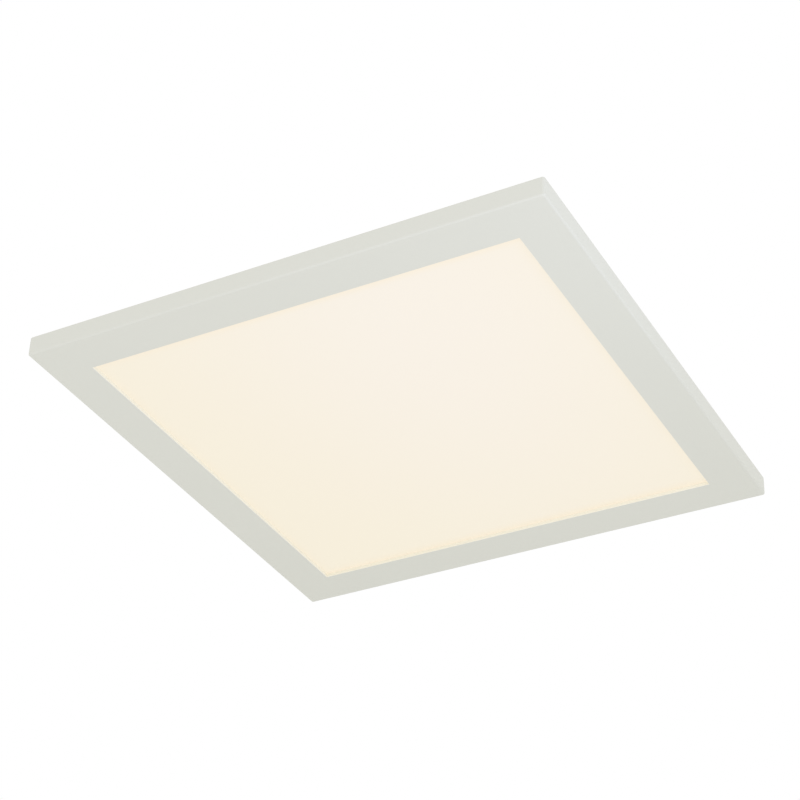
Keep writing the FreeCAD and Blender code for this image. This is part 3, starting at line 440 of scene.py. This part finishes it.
def galvanised_sheet(settings):
    """Hot-dip galvanised steel: grey metal broken into ragged crystals, the spangle. Each crystal shines a
    little differently, and its fern-like lines run its own way."""
    zinc, dull, shiny = settings.zinc_colour, 0.5, 0.28
    stray, fern_share = 0.35, 0.9           # of the crystals' borders and of the lines in the shade
    fern_lines = (1.2, 11.0, 11.0)          # to a crystal, along and across them
    material, tree, shader = new_material("galvanised_sheet", zinc, 0.38, Metallic=1.0)
    even = counted(tree, settings.spangle)
    ragged = add_node(tree, "TexNoise", {"Vector": even, "Scale": 3.0, "Detail": 4.0})["Color"]
    place = add_node(tree, "VectorMath", {0: ragged, 1: (stray,) * 3, 2: even}, operation="MULTIPLY_ADD")[0]
    crystals = add_node(tree, "TexVoronoi", {"Vector": place, "Scale": 1.0})["Color"]
    tone = add_node(tree, "SeparateXYZ", {"Vector": crystals})["X"]
    angle = add_node(tree, "Math", {0: tone, 1: 2 * math.pi}, operation="MULTIPLY")[0]
    turn = add_node(tree, "CombineXYZ", {"Z": angle})[0]
    lines = add_node(tree, "Mapping", {"Vector": place, "Rotation": turn, "Scale": fern_lines})["Vector"]
    ferns = add_node(tree, "TexNoise", {"Vector": lines, "Scale": 1.0, "Detail": 3.0})["Fac"]
    shade = add_node(tree, "Math", {0: ferns, 1: fern_share, 2: tone}, operation="MULTIPLY_ADD")[0]
    level = add_node(tree, "MapRange", {"Value": shade, "From Min": 0.2, "From Max": 1.7})["Result"]
    add_node(tree, "Mix", {"Factor": level, MIX_LOW: scaled(zinc, 0.8), MIX_HIGH: scaled(zinc, 1.12)},
             {MIX_RESULT: shader.inputs["Base Color"]}, data_type="RGBA")
    add_node(tree, "MapRange", {"Value": level, "To Min": shiny, "To Max": dull},
             {"Result": shader.inputs["Roughness"]})
    add_node(tree, "Bump", {"Height": ferns, "Distance": 0.01 * MM}, {"Normal": shader.inputs["Normal"]})
    return material


def blued_spring_steel():
    """Hardened strip steel, tempered in air: a dark blue-grey oxide that runs to straw in places, with
    a smooth metal shine."""
    material, tree, shader = new_material("blued_spring_steel", linear("#4D525C"), 0.27, Metallic=1.0)
    drift(tree, shader, 6 * MM, linear("#3F4650"), linear("#6A6458"))
    grind = add_node(tree, "TexNoise", {"Vector": counted(tree, (0.3 * MM, 0.3 * MM, 8 * MM)), "Scale": 1.0,
                                        "Detail": 2.0})["Fac"]
    add_node(tree, "Bump", {"Height": grind, "Distance": 0.003 * MM}, {"Normal": shader.inputs["Normal"]})
    return material


def bright_zinc():
    """Electroplated zinc with a clear blue passivation, on screws and nuts: bright silver with a faint
    cold tint that drifts to straw."""
    material, tree, shader = new_material("bright_zinc_plate", linear("#BFC4C9"), 0.24, Metallic=1.0)
    drift(tree, shader, 3 * MM, linear("#B4BCC6"), linear("#CBC9C0"))
    pitted(tree, shader, 0.4 * MM, 0.004 * MM)
    return material


def mill_aluminium():
    """Aluminium as rolled or extruded: pale, slightly blue metal with long fine lines along Y."""
    material, tree, shader = new_material("mill_aluminium", linear("#C9CBCD"), 0.32, Metallic=1.0)
    lines = add_node(tree, "TexNoise", {"Vector": counted(tree, (0.25 * MM, 30 * MM, 0.25 * MM)),
                                        "Scale": 1.0, "Detail": 3.0})["Fac"]
    add_node(tree, "Mix", {"Factor": lines, MIX_LOW: linear("#BDBFC2"), MIX_HIGH: linear("#D4D5D6")},
             {MIX_RESULT: shader.inputs["Base Color"]}, data_type="RGBA")
    add_node(tree, "Bump", {"Height": lines, "Distance": 0.005 * MM}, {"Normal": shader.inputs["Normal"]})
    return material


def moulded_rubber(name, code):
    """Moulded rubber: matt, with a faint bloom that lightens it in patches."""
    material, tree, shader = new_material(name, linear(code), 0.72, IOR=1.52)
    drift(tree, shader, 5 * MM, scaled(linear(code), 0.85), scaled(linear(code), 1.3))
    pitted(tree, shader, 0.5 * MM, 0.01 * MM)
    return material


def solder_mask(name, code, track_code):
    """Epoxy glass board under a glossy solder mask. The copper under it shows as slightly raised lighter
    bands, which run along X in one block of the board and along Y in the next."""
    block, track_pitch, track_share = 8 * MM, 1.6 * MM, 0.55
    material, tree, shader = new_material(name, linear(code), 0.28, IOR=1.55, Coat_Weight=0.3,
                                          Coat_Roughness=0.12)
    blocks = add_node(tree, "TexVoronoi", {"Vector": counted(tree, block), "Scale": 1.0},
                      distance="CHEBYCHEV")["Color"]
    tone = add_node(tree, "SeparateXYZ", {"Vector": blocks})["X"]
    along_x = add_node(tree, "Math", {0: tone, 1: 0.5}, operation="GREATER_THAN")[0]
    axes = add_node(tree, "SeparateXYZ", {"Vector": counted(tree, track_pitch)})
    across = add_node(tree, "Mix", {"Factor": along_x, "A": axes["X"], "B": axes["Y"]})["Result"]
    share = add_node(tree, "Math", {0: across}, operation="FRACT")[0]
    track = add_node(tree, "Math", {0: share, 1: track_share}, operation="LESS_THAN")[0]
    add_node(tree, "Mix", {"Factor": track, MIX_LOW: linear(code), MIX_HIGH: linear(track_code)},
             {MIX_RESULT: shader.inputs["Base Color"]}, data_type="RGBA")
    add_node(tree, "Bump", {"Height": track, "Distance": 0.03 * MM}, {"Normal": shader.inputs["Normal"]})
    return material


def moulded_thermoplastic(name, code, roughness=0.45, grain=0.6 * MM):
    """Injection-moulded polyamide or ABS from a finely eroded mould: opaque and satin, with a slight
    change of tone where the melt flowed."""
    material, tree, shader = new_material(name, linear(code), roughness, IOR=1.53)
    drift(tree, shader, 12 * MM, scaled(linear(code), 0.95), scaled(linear(code), 1.04))
    pitted(tree, shader, grain, 0.006 * MM)
    return material


def led_phosphor():
    """Silicone mixed with phosphor, cast in the package's window: strong yellow, glossy and lit."""
    material, tree, shader = new_material("phosphor_silicone", linear("#F2CF4A"), 0.2, IOR=1.41,
                                          Emission_Strength=0.35)
    shader.inputs["Emission Color"].default_value = linear("#FFE9B0")
    drift(tree, shader, 0.6 * MM, linear("#EBC43C"), linear("#F8DB66"))
    return material


def sintered_ferrite():
    """Sintered ferrite, ground on its mating faces: nearly black, dense, with a dull grey shine."""
    material, tree, shader = new_material("sintered_ferrite", linear("#35353A"), 0.5, IOR=2.2)
    drift(tree, shader, 0.7 * MM, linear("#2B2B30"), linear("#434349"))
    pitted(tree, shader, 0.4 * MM, 0.02 * MM)
    return material


def polyester_tape():
    """Yellow polyester tape wound tight: translucent amber-yellow with a plastic gloss and a fine edge
    at each layer."""
    material, tree, shader = new_material("polyester_tape", linear("#E0A81C"), 0.26, IOR=1.6)
    drift(tree, shader, 4 * MM, linear("#D0951A"), linear("#EDB92F"))
    pitted(tree, shader, 1.5 * MM, 0.02 * MM)
    return material


def shrink_sleeve(middles_x, stripe_end):
    """PVC sleeve shrunk over a can: dark blue and glossy, with a pale stripe down the side towards -Y that
    marks the minus lead."""
    blue, half_stripe = linear("#1B2440"), 1.6 * MM
    material, tree, shader = new_material("shrink_sleeve", blue, 0.3, IOR=1.54)
    place = add_node(tree, "TexCoord")["Object"]
    axes = add_node(tree, "SeparateXYZ", {"Vector": place})
    beside = [add_node(tree, "Math", {0: axes["X"], 1: x, 2: half_stripe}, operation="COMPARE")[0]
              for x in middles_x]
    either = add_node(tree, "Math", {0: beside[0], 1: beside[1]}, operation="MAXIMUM")[0]
    front = add_node(tree, "Math", {0: axes["Y"], 1: stripe_end}, operation="LESS_THAN")[0]
    stripe = add_node(tree, "Math", {0: either, 1: front}, operation="MULTIPLY")[0]
    add_node(tree, "Mix", {"Factor": stripe, MIX_LOW: blue, MIX_HIGH: linear("#C8CCD4")},
             {MIX_RESULT: shader.inputs["Base Color"]}, data_type="RGBA")
    pitted(tree, shader, 1.0 * MM, 0.01 * MM)
    return material


def enamelled_copper():
    """Copper wire under clear polyurethane enamel: orange-brown metal with a varnished gloss."""
    material, tree, shader = new_material("enamelled_copper", linear("#B5602B"), 0.25, Metallic=1.0,
                                          Coat_Weight=0.8, Coat_Roughness=0.08)
    drift(tree, shader, 1.5 * MM, linear("#A5521F"), linear("#C87538"))
    return material


def tinned_copper():
    """Copper strip with a dip of tin: soft silver, with copper showing through where the coat is thin."""
    material, tree, shader = new_material("tinned_copper", linear("#C9C2B6"), 0.3, Metallic=1.0)
    drift(tree, shader, 2 * MM, linear("#C3A98C"), linear("#CECBC4"))
    pitted(tree, shader, 0.5 * MM, 0.006 * MM)
    return material


def lead_insulation(name, code):
    """Extruded PVC insulation: an even strong colour with a soft wax-like gloss."""
    material, tree, shader = new_material(name, linear(code), 0.36, IOR=1.53)
    drift(tree, shader, 9 * MM, scaled(linear(code), 0.92), scaled(linear(code), 1.08))
    pitted(tree, shader, 0.8 * MM, 0.008 * MM)
    return material


def striped_insulation(name, code, stripe_code, line, radius, bend):
    """Extruded PVC insulation in two colours: the second lies in a stripe along the top and one along the
    bottom of the lead. The lead comes along X at the height line.y and turns into the line x = line.x, by
    an arc of radius bend about a point set in by that from both. So a place lies off the lead's centre by
    bend - length(max(arc middle - place, 0))."""
    material, tree, shader = new_material(name, linear(code), 0.36, IOR=1.53)
    middle = (line[0] + bend, line[1] + bend, 0.0)
    place = add_node(tree, "TexCoord")["Object"]
    flat = add_node(tree, "VectorMath", {0: place, 1: (1.0, 1.0, 0.0)}, operation="MULTIPLY")[0]
    inset = add_node(tree, "VectorMath", {0: middle, 1: flat}, operation="SUBTRACT")[0]
    inset = add_node(tree, "VectorMath", {0: inset, 1: (0.0, 0.0, 0.0)}, operation="MAXIMUM")[0]
    reach = add_node(tree, "VectorMath", {0: inset}, operation="LENGTH")["Value"]
    half_stripe = 0.6 * radius
    stripe = add_node(tree, "Math", {0: reach, 1: bend, 2: half_stripe}, operation="COMPARE")[0]
    add_node(tree, "Mix", {"Factor": stripe, MIX_LOW: linear(code), MIX_HIGH: linear(stripe_code)},
             {MIX_RESULT: shader.inputs["Base Color"]}, data_type="RGBA")
    pitted(tree, shader, 0.8 * MM, 0.008 * MM)
    return material


# ---- the pieces ----
class LIGHT_OT_front_frame(bpy.types.Operator):
    """Finishes the one-piece front frame"""
    bl_idname = "ceiling_light.front_frame"
    bl_label = "Front Frame"

    def execute(self, context):
        give(moulded_polycarbonate(context.scene.light_panel), "front_frame")
        return {"FINISHED"}


class LIGHT_OT_opal_sheet(bpy.types.Operator):
    """Finishes the lit opal sheet"""
    bl_idname = "ceiling_light.opal_sheet"
    bl_label = "Opal Sheet"

    def execute(self, context):
        give(lit_opal_acrylic(context.scene.light_panel), "opal_diffuser")
        return {"FINISHED"}


class LIGHT_OT_optical_stack(bpy.types.Operator):
    """Finishes the light guide, the reflector film and the foam behind them"""
    bl_idname = "ceiling_light.optical_stack"
    bl_label = "Optical Stack"

    def execute(self, context):
        give(dotted_clear_acrylic(), "light_guide")
        give(white_film(), "reflector_sheet")
        give(closed_cell_foam(), "foam_pad")
        return {"FINISHED"}


class LIGHT_OT_led_strips(bpy.types.Operator):
    """Builds the LED packages, and finishes their boards and the angles that carry them"""
    bl_idname = "ceiling_light.led_strips"
    bl_label = "LED Strips"

    def execute(self, context):
        settings = context.scene.light_electrics
        boards = solder_mask("white_solder_mask", "#E8E8E4", "#DCDCD6")
        give(boards, "led_board_right", "led_board_left")
        give(mill_aluminium(), "heat_spreader_right", "heat_spreader_left")
        body = moulded_thermoplastic("white_polyphthalamide", "#F0F0EC", roughness=0.5, grain=0.3 * MM)
        finishes = [body, led_phosphor()]
        for side, name in ((1, "right"), (-1, "left")):
            self.packages(settings, side, name, finishes)
        return {"FINISHED"}

    @staticmethod
    def packages(settings, side, name, finishes):
        """One strip's packages: rounded rectangles, one behind the other, go up the outer wall, over the
        rim, down into the window and over the phosphor, which stands up slightly in its middle. Each step
        is an inset and a share of the package's height."""
        low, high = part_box(f"led_chips_{name}")
        face, back = (low.x, high.x) if side > 0 else (high.x, low.x)
        half_y, half_z = settings.package_length / 2, (high.z - low.z) / 2
        pitch = (high.y - low.y - settings.package_length) / (PACKAGES - 1)
        rim, draft, corner = settings.package_rim, 0.1 * MM, 0.15 * MM
        bevel, dome = 0.75, 0.05        # where the bevel starts and how far the phosphor stands up
        window = 1.0 - settings.window_depth / (high.x - low.x)
        steps = [(0.0, 0.0), (0.0, bevel), (draft, 1.0), (rim, 1.0), (rim + draft, window),
                 (2 * rim, window + dome)]
        flats = [rounded_rectangle(half_y - inset, half_z - inset, corner, steps=3) for inset, _ in steps]
        upright = stacked(flats, [back + share * (face - back) for _, share in steps])
        loops = np.roll(upright, 1, axis=-1)        # turned from along Z to along X
        middle_z = (low.z + high.z) / 2
        offsets = [(0, low.y + half_y + k * pitch, middle_z) for k in range(PACKAGES)]
        around = len(loops[0])
        phosphor = [0] * (len(steps) - 2) * around + [1] * around + [0, 1]
        piece(f"led_packages_{name}", placed(skin(loops), *offsets), finishes,
              phosphor * PACKAGES, [f"led_chips_{name}"])


class LIGHT_OT_sheet_metal(bpy.types.Operator):
    """Finishes the back plate and the rear housing, which share one powder coat, and the leads' grommet"""
    bl_idname = "ceiling_light.sheet_metal"
    bl_label = "Back Plate and Housing"

    def execute(self, context):
        give(powder_coat(context.scene.light_metal), "back_plate", "rear_housing")
        give(moulded_rubber("white_silicone", "#D8D8D2"), "lead_grommet")
        return {"FINISHED"}


class LIGHT_OT_ceiling_plate(bpy.types.Operator):
    """Finishes the ceiling plate, its cable bushing, its spring clips and their rivets"""
    bl_idname = "ceiling_light.ceiling_plate"
    bl_label = "Ceiling Plate"

    def execute(self, context):
        give(galvanised_sheet(context.scene.light_metal), "ceiling_plate")
        give(moulded_rubber("black_rubber", "#232325"), "cable_bushing")
        give(blued_spring_steel(), "spring_clip_right", "spring_clip_left")
        give(bpy.data.materials["mill_aluminium"], "clip_rivets")
        return {"FINISHED"}


class LIGHT_OT_fasteners(bpy.types.Operator):
    """Finishes the screws, nuts and washer"""
    bl_idname = "ceiling_light.fasteners"
    bl_label = "Fasteners"

    def execute(self, context):
        give(bright_zinc(), "back_plate_screws", "housing_screws", "driver_screws", "terminal_screws",
             "clinch_nuts", "earth_washer", "earth_screw")
        return {"FINISHED"}


class LIGHT_OT_driver(bpy.types.Operator):
    """Finishes the driver's case and board, and builds the parts that stand on the board"""
    bl_idname = "ceiling_light.driver"
    bl_label = "Driver"

    def execute(self, context):
        settings = context.scene.light_electrics
        give(moulded_thermoplastic("white_case_plastic", "#E4E4E0"), "driver_base", "driver_lid")
        give(solder_mask("green_solder_mask", "#1D5A33", "#2A7044"), "driver_board")
        give(sintered_ferrite(), "driver_transformer")
        self.coil(settings)
        self.capacitors()
        self.choke(settings)
        return {"FINISHED"}

    @staticmethod
    def coil(settings):
        """The taped coil: rounded rectangles stacked up the leg, full size at the bobbin's two flanges
        and set in between them, where each layer of tape stands a little further in than the one below."""
        low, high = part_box("transformer_winding")
        middle, half = (low + high) / 2, (high - low) / 2
        flange, inset, step, corner = 0.7 * MM, 0.9 * MM, 0.08 * MM, 3 * MM
        tape = np.linspace(low.z + flange, high.z - flange, 2 * settings.tape_layers)
        levels = [(low.z, 0.0), (low.z + flange, 0.0)]
        levels += [(z, inset + step * (k // 2)) for k, z in enumerate(tape)]
        levels += [(high.z - flange, 0.0), (high.z, 0.0)]
        flats = [rounded_rectangle(half.x - inward, half.y - inward, corner - inward, steps=6)
                 for _, inward in levels]
        loops = stacked(np.array(flats) + (middle.x, middle.y), [z for z, _ in levels])
        around = len(loops[0])
        flanges = [0] * around * 2 + [1] * around * (len(levels) - 5) + [0] * around * 2 + [0, 0]
        body = moulded_thermoplastic("black_bobbin", "#26272A")
        piece("transformer_coil", skin(loops), [body, polyester_tape()], flanges,
              ["transformer_winding"])

    @staticmethod
    def capacitors():
        """Two electrolytic cans: a profile of (radius, height) turned about the upright axis, with the
        crimped groove above the base, the sleeve's edge curled over the rim and a cross scored in the lid,
        as deep as score_depth * e^-(way to its line / score_width)^2. The lower wall is given in mm in from
        the radius and up from the base, the upper one in from the radius and down from the top."""
        lower = ((0.6, 0.0), (0.1, 0.3), (0.0, 0.7), (0.0, 1.4), (0.4, 1.8), (0.4, 2.1), (0.0, 2.5))
        upper = ((0.0, 0.7), (0.2, 0.2), (0.6, 0.0), (0.9, 0.1), (1.0, 0.3))
        lid_inset, lid_drop, score_width, score_depth = 1.1 * MM, 0.35 * MM, 0.2 * MM, 0.15 * MM
        steps, lid_steps = 48, 12
        low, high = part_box("driver_capacitors")
        radius, middle_y = (high.y - low.y) / 2, (low.y + high.y) / 2
        height = high.z - low.z
        wall = [(0.0, 0.0)] + [(radius - inset * MM, up * MM) for inset, up in lower]
        wall += [(radius - inset * MM, height - down * MM) for inset, down in upper]
        lid = [(r, height - lid_drop) for r in np.linspace(radius - lid_inset, 0.0, lid_steps)]
        loops = turned(wall + lid, steps)
        to_score = np.minimum(abs(loops[..., 0]), abs(loops[..., 1]))
        scored = np.exp(-(to_score / score_width) ** 2) * (np.arange(len(loops)) > len(wall) + 1)[:, None]
        loops[..., 2] -= score_depth * scored
        middles_x = (low.x + radius, high.x - radius)
        stripe_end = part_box("driver_board")[0].y + 15 * MM      # a little before the cans' middle
        offsets = [(x, middle_y, low.z) for x in middles_x]
        lid_faces = [0] * steps * (len(wall) - 1) + [1] * steps * len(lid) + [0, 1]
        finishes = [shrink_sleeve(middles_x, stripe_end), bpy.data.materials["mill_aluminium"]]
        piece("capacitor_cans", placed(skin(loops), *offsets), finishes, lid_faces * 2,
              ["driver_capacitors"])

    @staticmethod
    def choke(settings):
        """A ring core with a coil of enamelled wire on each half: the wire's centre goes along its half of
        the ring while it goes choke_turns times round the core's section, a square rounded by taking the
        square root of the sine and the cosine."""
        corner, core_steps, wire_steps, steps_per_turn = 0.8 * MM, 48, 8, 22
        bare, wound = 0.08, 0.84        # shares of a half: before the winding starts, and under it
        low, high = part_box("driver_choke")
        middle = (low + high) / 2
        outer, inner, half = (high.x - low.x) / 2, (high.x - low.x) / 4, (high.z - low.z) / 2
        wire = settings.choke_wire
        section = rounded_rectangle((outer - inner) / 2 - wire, half - wire, corner, steps=5)
        angle = np.linspace(0, 2 * math.pi, core_steps, endpoint=False)[:, None]
        reach = (outer + inner) / 2 + section[:, 0]
        ring = np.stack([reach * np.cos(angle), reach * np.sin(angle),
                         np.broadcast_to(section[:, 1], (core_steps, len(section)))], -1)
        piece("choke_core", skin(ring + np.array(middle), joined=True),
              [bpy.data.materials["sintered_ferrite"]], stands_for=["driver_choke"])
        share = np.linspace(0, 1, steps_per_turn * settings.choke_turns)
        around = 2 * math.pi * settings.choke_turns * share
        out, up = np.cos(around), np.sin(around)
        out, up = np.sign(out) * np.sqrt(abs(out)), np.sign(up) * np.sqrt(abs(up))
        reach = (outer + inner) / 2 + ((outer - inner) / 2 - wire / 2) * out
        copper = enamelled_copper()
        for k, name in enumerate(("line", "neutral")):
            turn = math.pi * (k + bare + wound * share)
            path = np.column_stack([reach * np.cos(turn), reach * np.sin(turn), (half - wire / 2) * up])
            piece(f"choke_winding_{name}", skin(tube(path + np.array(middle), wire / 2, wire_steps)),
                  [copper], stands_for=["driver_choke"])


class LIGHT_OT_terminal_block(bpy.types.Operator):
    """Finishes the terminal block, its contacts and its release buttons"""
    bl_idname = "ceiling_light.terminal_block"
    bl_label = "Terminal Block"

    def execute(self, context):
        give(moulded_thermoplastic("grey_polyamide", "#C4C7C9"), "terminal_block")
        give(tinned_copper(), "terminal_contacts", "earth_ring")
        for pole, code in (("live", "#6A3A1E"), ("neutral", "#2A62B8"), ("earth", "#3D8A3A")):
            give(moulded_thermoplastic(f"{pole}_polyamide", code), f"{pole}_release_button")
        return {"FINISHED"}


class LIGHT_OT_marks(bpy.types.Operator):
    """Builds the raised letters of the poles, and the earth signs on the block and by the earth screw"""
    bl_idname = "ceiling_light.marks"
    bl_label = "Terminal Marks"

    def execute(self, context):
        settings = context.scene.light_electrics
        small = 0.7                     # the sign on the block, against the one beside the screw
        low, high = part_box("terminal_block")
        plastic = [moulded_thermoplastic("dark_stamping", "#3A3D42")]
        for pole, text in (("live", "L"), ("neutral", "N")):
            letter = self.letter(text, settings)
            piece(f"{pole}_mark", placed(letter, self.spot(pole, high)), plastic)
        sign = self.earth_sign(small * settings.mark_size, settings.mark_height)
        piece("earth_mark", placed(sign, self.spot("earth", high)), plastic)
        screw_low, screw_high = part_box("earth_screw")
        by_screw = ((screw_low.x + screw_high.x) / 2 + settings.sign_offset,
                    (screw_low.y + screw_high.y) / 2, low.z)
        sign = self.earth_sign(settings.mark_size, settings.mark_height)
        piece("earth_sign", placed(sign, by_screw),
              [bpy.data.materials["white_powder_coat"]])
        return {"FINISHED"}

    @staticmethod
    def spot(pole, block_high):
        """Middle of the free place on the block's top, between the pole's button and the wire entry."""
        low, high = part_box(f"{pole}_release_button")
        return (high.x + block_high.x) / 2, (low.y + high.y) / 2, block_high.z

    @staticmethod
    def letter(text, settings):
        """A raised capital of the built-in typeface, centred on the origin, with its top towards -X."""
        curve = bpy.data.curves.new("letter", "FONT")
        curve.body = text
        curve.size = settings.mark_size
        curve.align_x = curve.align_y = "CENTER"
        curve.resolution_u = 2
        curve.extrude = settings.mark_height / 2
        made = bpy.data.objects.new("letter", curve)
        mesh = bpy.data.meshes.new_from_object(made)
        flat = np.empty((len(mesh.vertices), 3))
        mesh.vertices.foreach_get("co", flat.ravel())
        faces = [list(face.vertices) for face in mesh.polygons]
        bpy.data.objects.remove(made)
        bpy.data.curves.remove(curve)
        bpy.data.meshes.remove(mesh)
        middle = (flat.min(axis=0) + flat.max(axis=0)) / 2
        x, y, z = (flat - middle).T
        return np.column_stack([-y, x, z + settings.mark_height / 2]), faces

    @staticmethod
    def earth_sign(across, height):
        """Protective earth: a stem on the longest of three bars, in a ring, with its top towards -X. Its
        sizes are shares of its width, and the two shorter bars are shares of the longest."""
        half, line, reach, gap, top = [share * across for share in (0.5, 0.07, 0.3, 0.17, -0.31)]
        stem = [(top, -line / 2), (0, -line / 2), (0, -reach), (line, -reach), (line, reach), (0, reach),
                (0, line / 2), (top, line / 2)]
        shapes = [raised(np.array(stem), height)]
        for k, share in ((1, 0.62), (2, 0.28)):
            bar = rounded_rectangle(line / 2, share * reach, line / 4, steps=2) + (k * gap + line / 2, 0)
            shapes.append(raised(bar, height))
        ring = [(half, 0), (half, height), (half - line, height), (half - line, 0)]
        return together(*shapes, skin(turned(ring, steps=40), joined=True))


class LIGHT_OT_leads(bpy.types.Operator):
    """Finishes the leads inside the light"""
    bl_idname = "ceiling_light.leads"
    bl_label = "Leads"

    def execute(self, context):
        colours = {"live_lead": "#6B3B20", "neutral_lead": "#2B66C0", "dc_lead_positive": "#C21F1F",
                   "dc_lead_negative": "#202022", "strip_link_lead": "#E2E2DE"}
        for name, code in colours.items():
            give(lead_insulation(f"{name}_insulation", code), name)
        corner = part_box("earth_lead")[0]
        radius, bend = context.scene.light_electrics.lead_diameter / 2, 4 * MM
        give(striped_insulation("earth_lead_insulation", "#3E9440", "#E6D22E",
                                (corner.x + radius, corner.y + radius), radius, bend), "earth_lead")
        return {"FINISHED"}


# ---- stage ----
class LIGHT_OT_stage(bpy.types.Operator):
    """Sets up the camera, the lamps, the white surroundings and the floor"""
    bl_idname = "ceiling_light.stage"
    bl_label = "Stage"

    def execute(self, context):
        settings = context.scene.light_stage
        self.surroundings(settings)
        self.floor(settings)
        self.lamp("right_lamp", settings.right_place, settings.right_power, settings.right_colour)
        self.lamp("front_lamp", settings.front_place, settings.front_power, settings.front_colour)
        self.camera(settings)
        context.scene.view_settings.view_transform = "Standard"
        return {"FINISHED"}

    @staticmethod
    def surroundings(settings):
        """Even light from all round, seen as plain white by the camera, in gloss and through glass."""
        world = bpy.data.worlds.new("studio")
        bpy.context.scene.world = world
        world.use_nodes = True
        tree = world.node_tree
        room = tree.nodes["Background"]
        room.inputs["Color"].default_value = (1, 1, 1, 1)
        room.inputs["Strength"].default_value = settings.room_level
        white = add_node(tree, "Background", {"Color": (1, 1, 1, 1), "Strength": 1.0})
        path = add_node(tree, "LightPath")
        direct = add_node(tree, "Math", {0: path["Is Camera Ray"], 1: path["Is Glossy Ray"]},
                          operation="MAXIMUM")[0]
        seen = add_node(tree, "Math", {0: direct, 1: path["Is Transmission Ray"]}, operation="MAXIMUM")[0]
        both = add_node(tree, "MixShader", {0: seen, 1: room.outputs[0], 2: white[0]})
        tree.links.new(both[0], tree.nodes["World Output"].inputs["Surface"])

    @staticmethod
    def floor(settings):
        """A flat square far below the light."""
        mesh = bpy.data.meshes.new("floor")
        corners = [(x * FLOOR_REACH, y * FLOOR_REACH, -settings.floor_drop)
                   for x, y in ((-1, -1), (1, -1), (1, 1), (-1, 1))]
        mesh.from_pydata(corners, [], [(0, 1, 2, 3)])
        material, tree, shader = new_material("pale_floor", linear("#F4F4F2"), 0.9)
        drift(tree, shader, 0.9, linear("#F3F3F1"), linear("#F5F5F3"))
        mesh.materials.append(material)
        new_object("floor", mesh)

    @staticmethod
    def lamp(name, place, power, colour):
        """A soft square lamp that faces the light's middle and isn't seen itself."""
        lamp = bpy.data.lights.new(name, "AREA")
        lamp.size = LAMP_SIDE
        lamp.energy = power
        lamp.color = colour[:3]
        made = new_object(name, lamp)
        made.location = place
        made.rotation_euler = (-Vector(place)).to_track_quat("-Z", "Y").to_euler()
        made.visible_camera = False

    @staticmethod
    def camera(settings):
        """The photograph's viewpoint: below the light, looking up along its diagonal."""
        camera = bpy.data.cameras.new("camera")
        camera.sensor_width = 36.0
        camera.lens = settings.camera_lens
        made = new_object("camera", camera)
        made.location = settings.camera_place
        made.rotation_euler = settings.camera_turn
        bpy.context.scene.camera = made


OPERATORS = (LIGHT_OT_stage, LIGHT_OT_front_frame, LIGHT_OT_opal_sheet, LIGHT_OT_optical_stack,
             LIGHT_OT_led_strips, LIGHT_OT_sheet_metal, LIGHT_OT_ceiling_plate, LIGHT_OT_fasteners,
             LIGHT_OT_driver, LIGHT_OT_terminal_block, LIGHT_OT_marks, LIGHT_OT_leads)
SETTINGS = {"light_panel": PanelSettings, "light_metal": MetalSettings,
            "light_electrics": ElectricSettings, "light_stage": StageSettings}


class LIGHT_PT_sidebar(bpy.types.Panel):
    """Lists the settings and the steps of the ceiling light"""
    bl_idname = "LIGHT_PT_sidebar"
    bl_label = "Ceiling Light"
    bl_space_type = "VIEW_3D"
    bl_region_type = "UI"
    bl_category = "Ceiling Light"

    def draw(self, context):
        for name, group in SETTINGS.items():
            box = self.layout.box()
            box.label(text=group.__doc__)
            for setting in group.__annotations__:
                box.prop(getattr(context.scene, name), setting)
        for operator in OPERATORS:
            self.layout.operator(operator.bl_idname)


def register():
    for made in (*SETTINGS.values(), *OPERATORS, LIGHT_PT_sidebar):
        bpy.utils.register_class(made)
    for name, group in SETTINGS.items():
        setattr(bpy.types.Scene, name, PointerProperty(type=group))


def unregister():
    for name in SETTINGS:
        delattr(bpy.types.Scene, name)
    for made in (LIGHT_PT_sidebar, *reversed(OPERATORS), *reversed(SETTINGS.values())):
        bpy.utils.unregister_class(made)


def main():
    """Runs every step in order."""
    register()
    for operator in OPERATORS:
        group, name = operator.bl_idname.split(".")
        getattr(getattr(bpy.ops, group), name)()


if __name__ == "__main__":
    main()
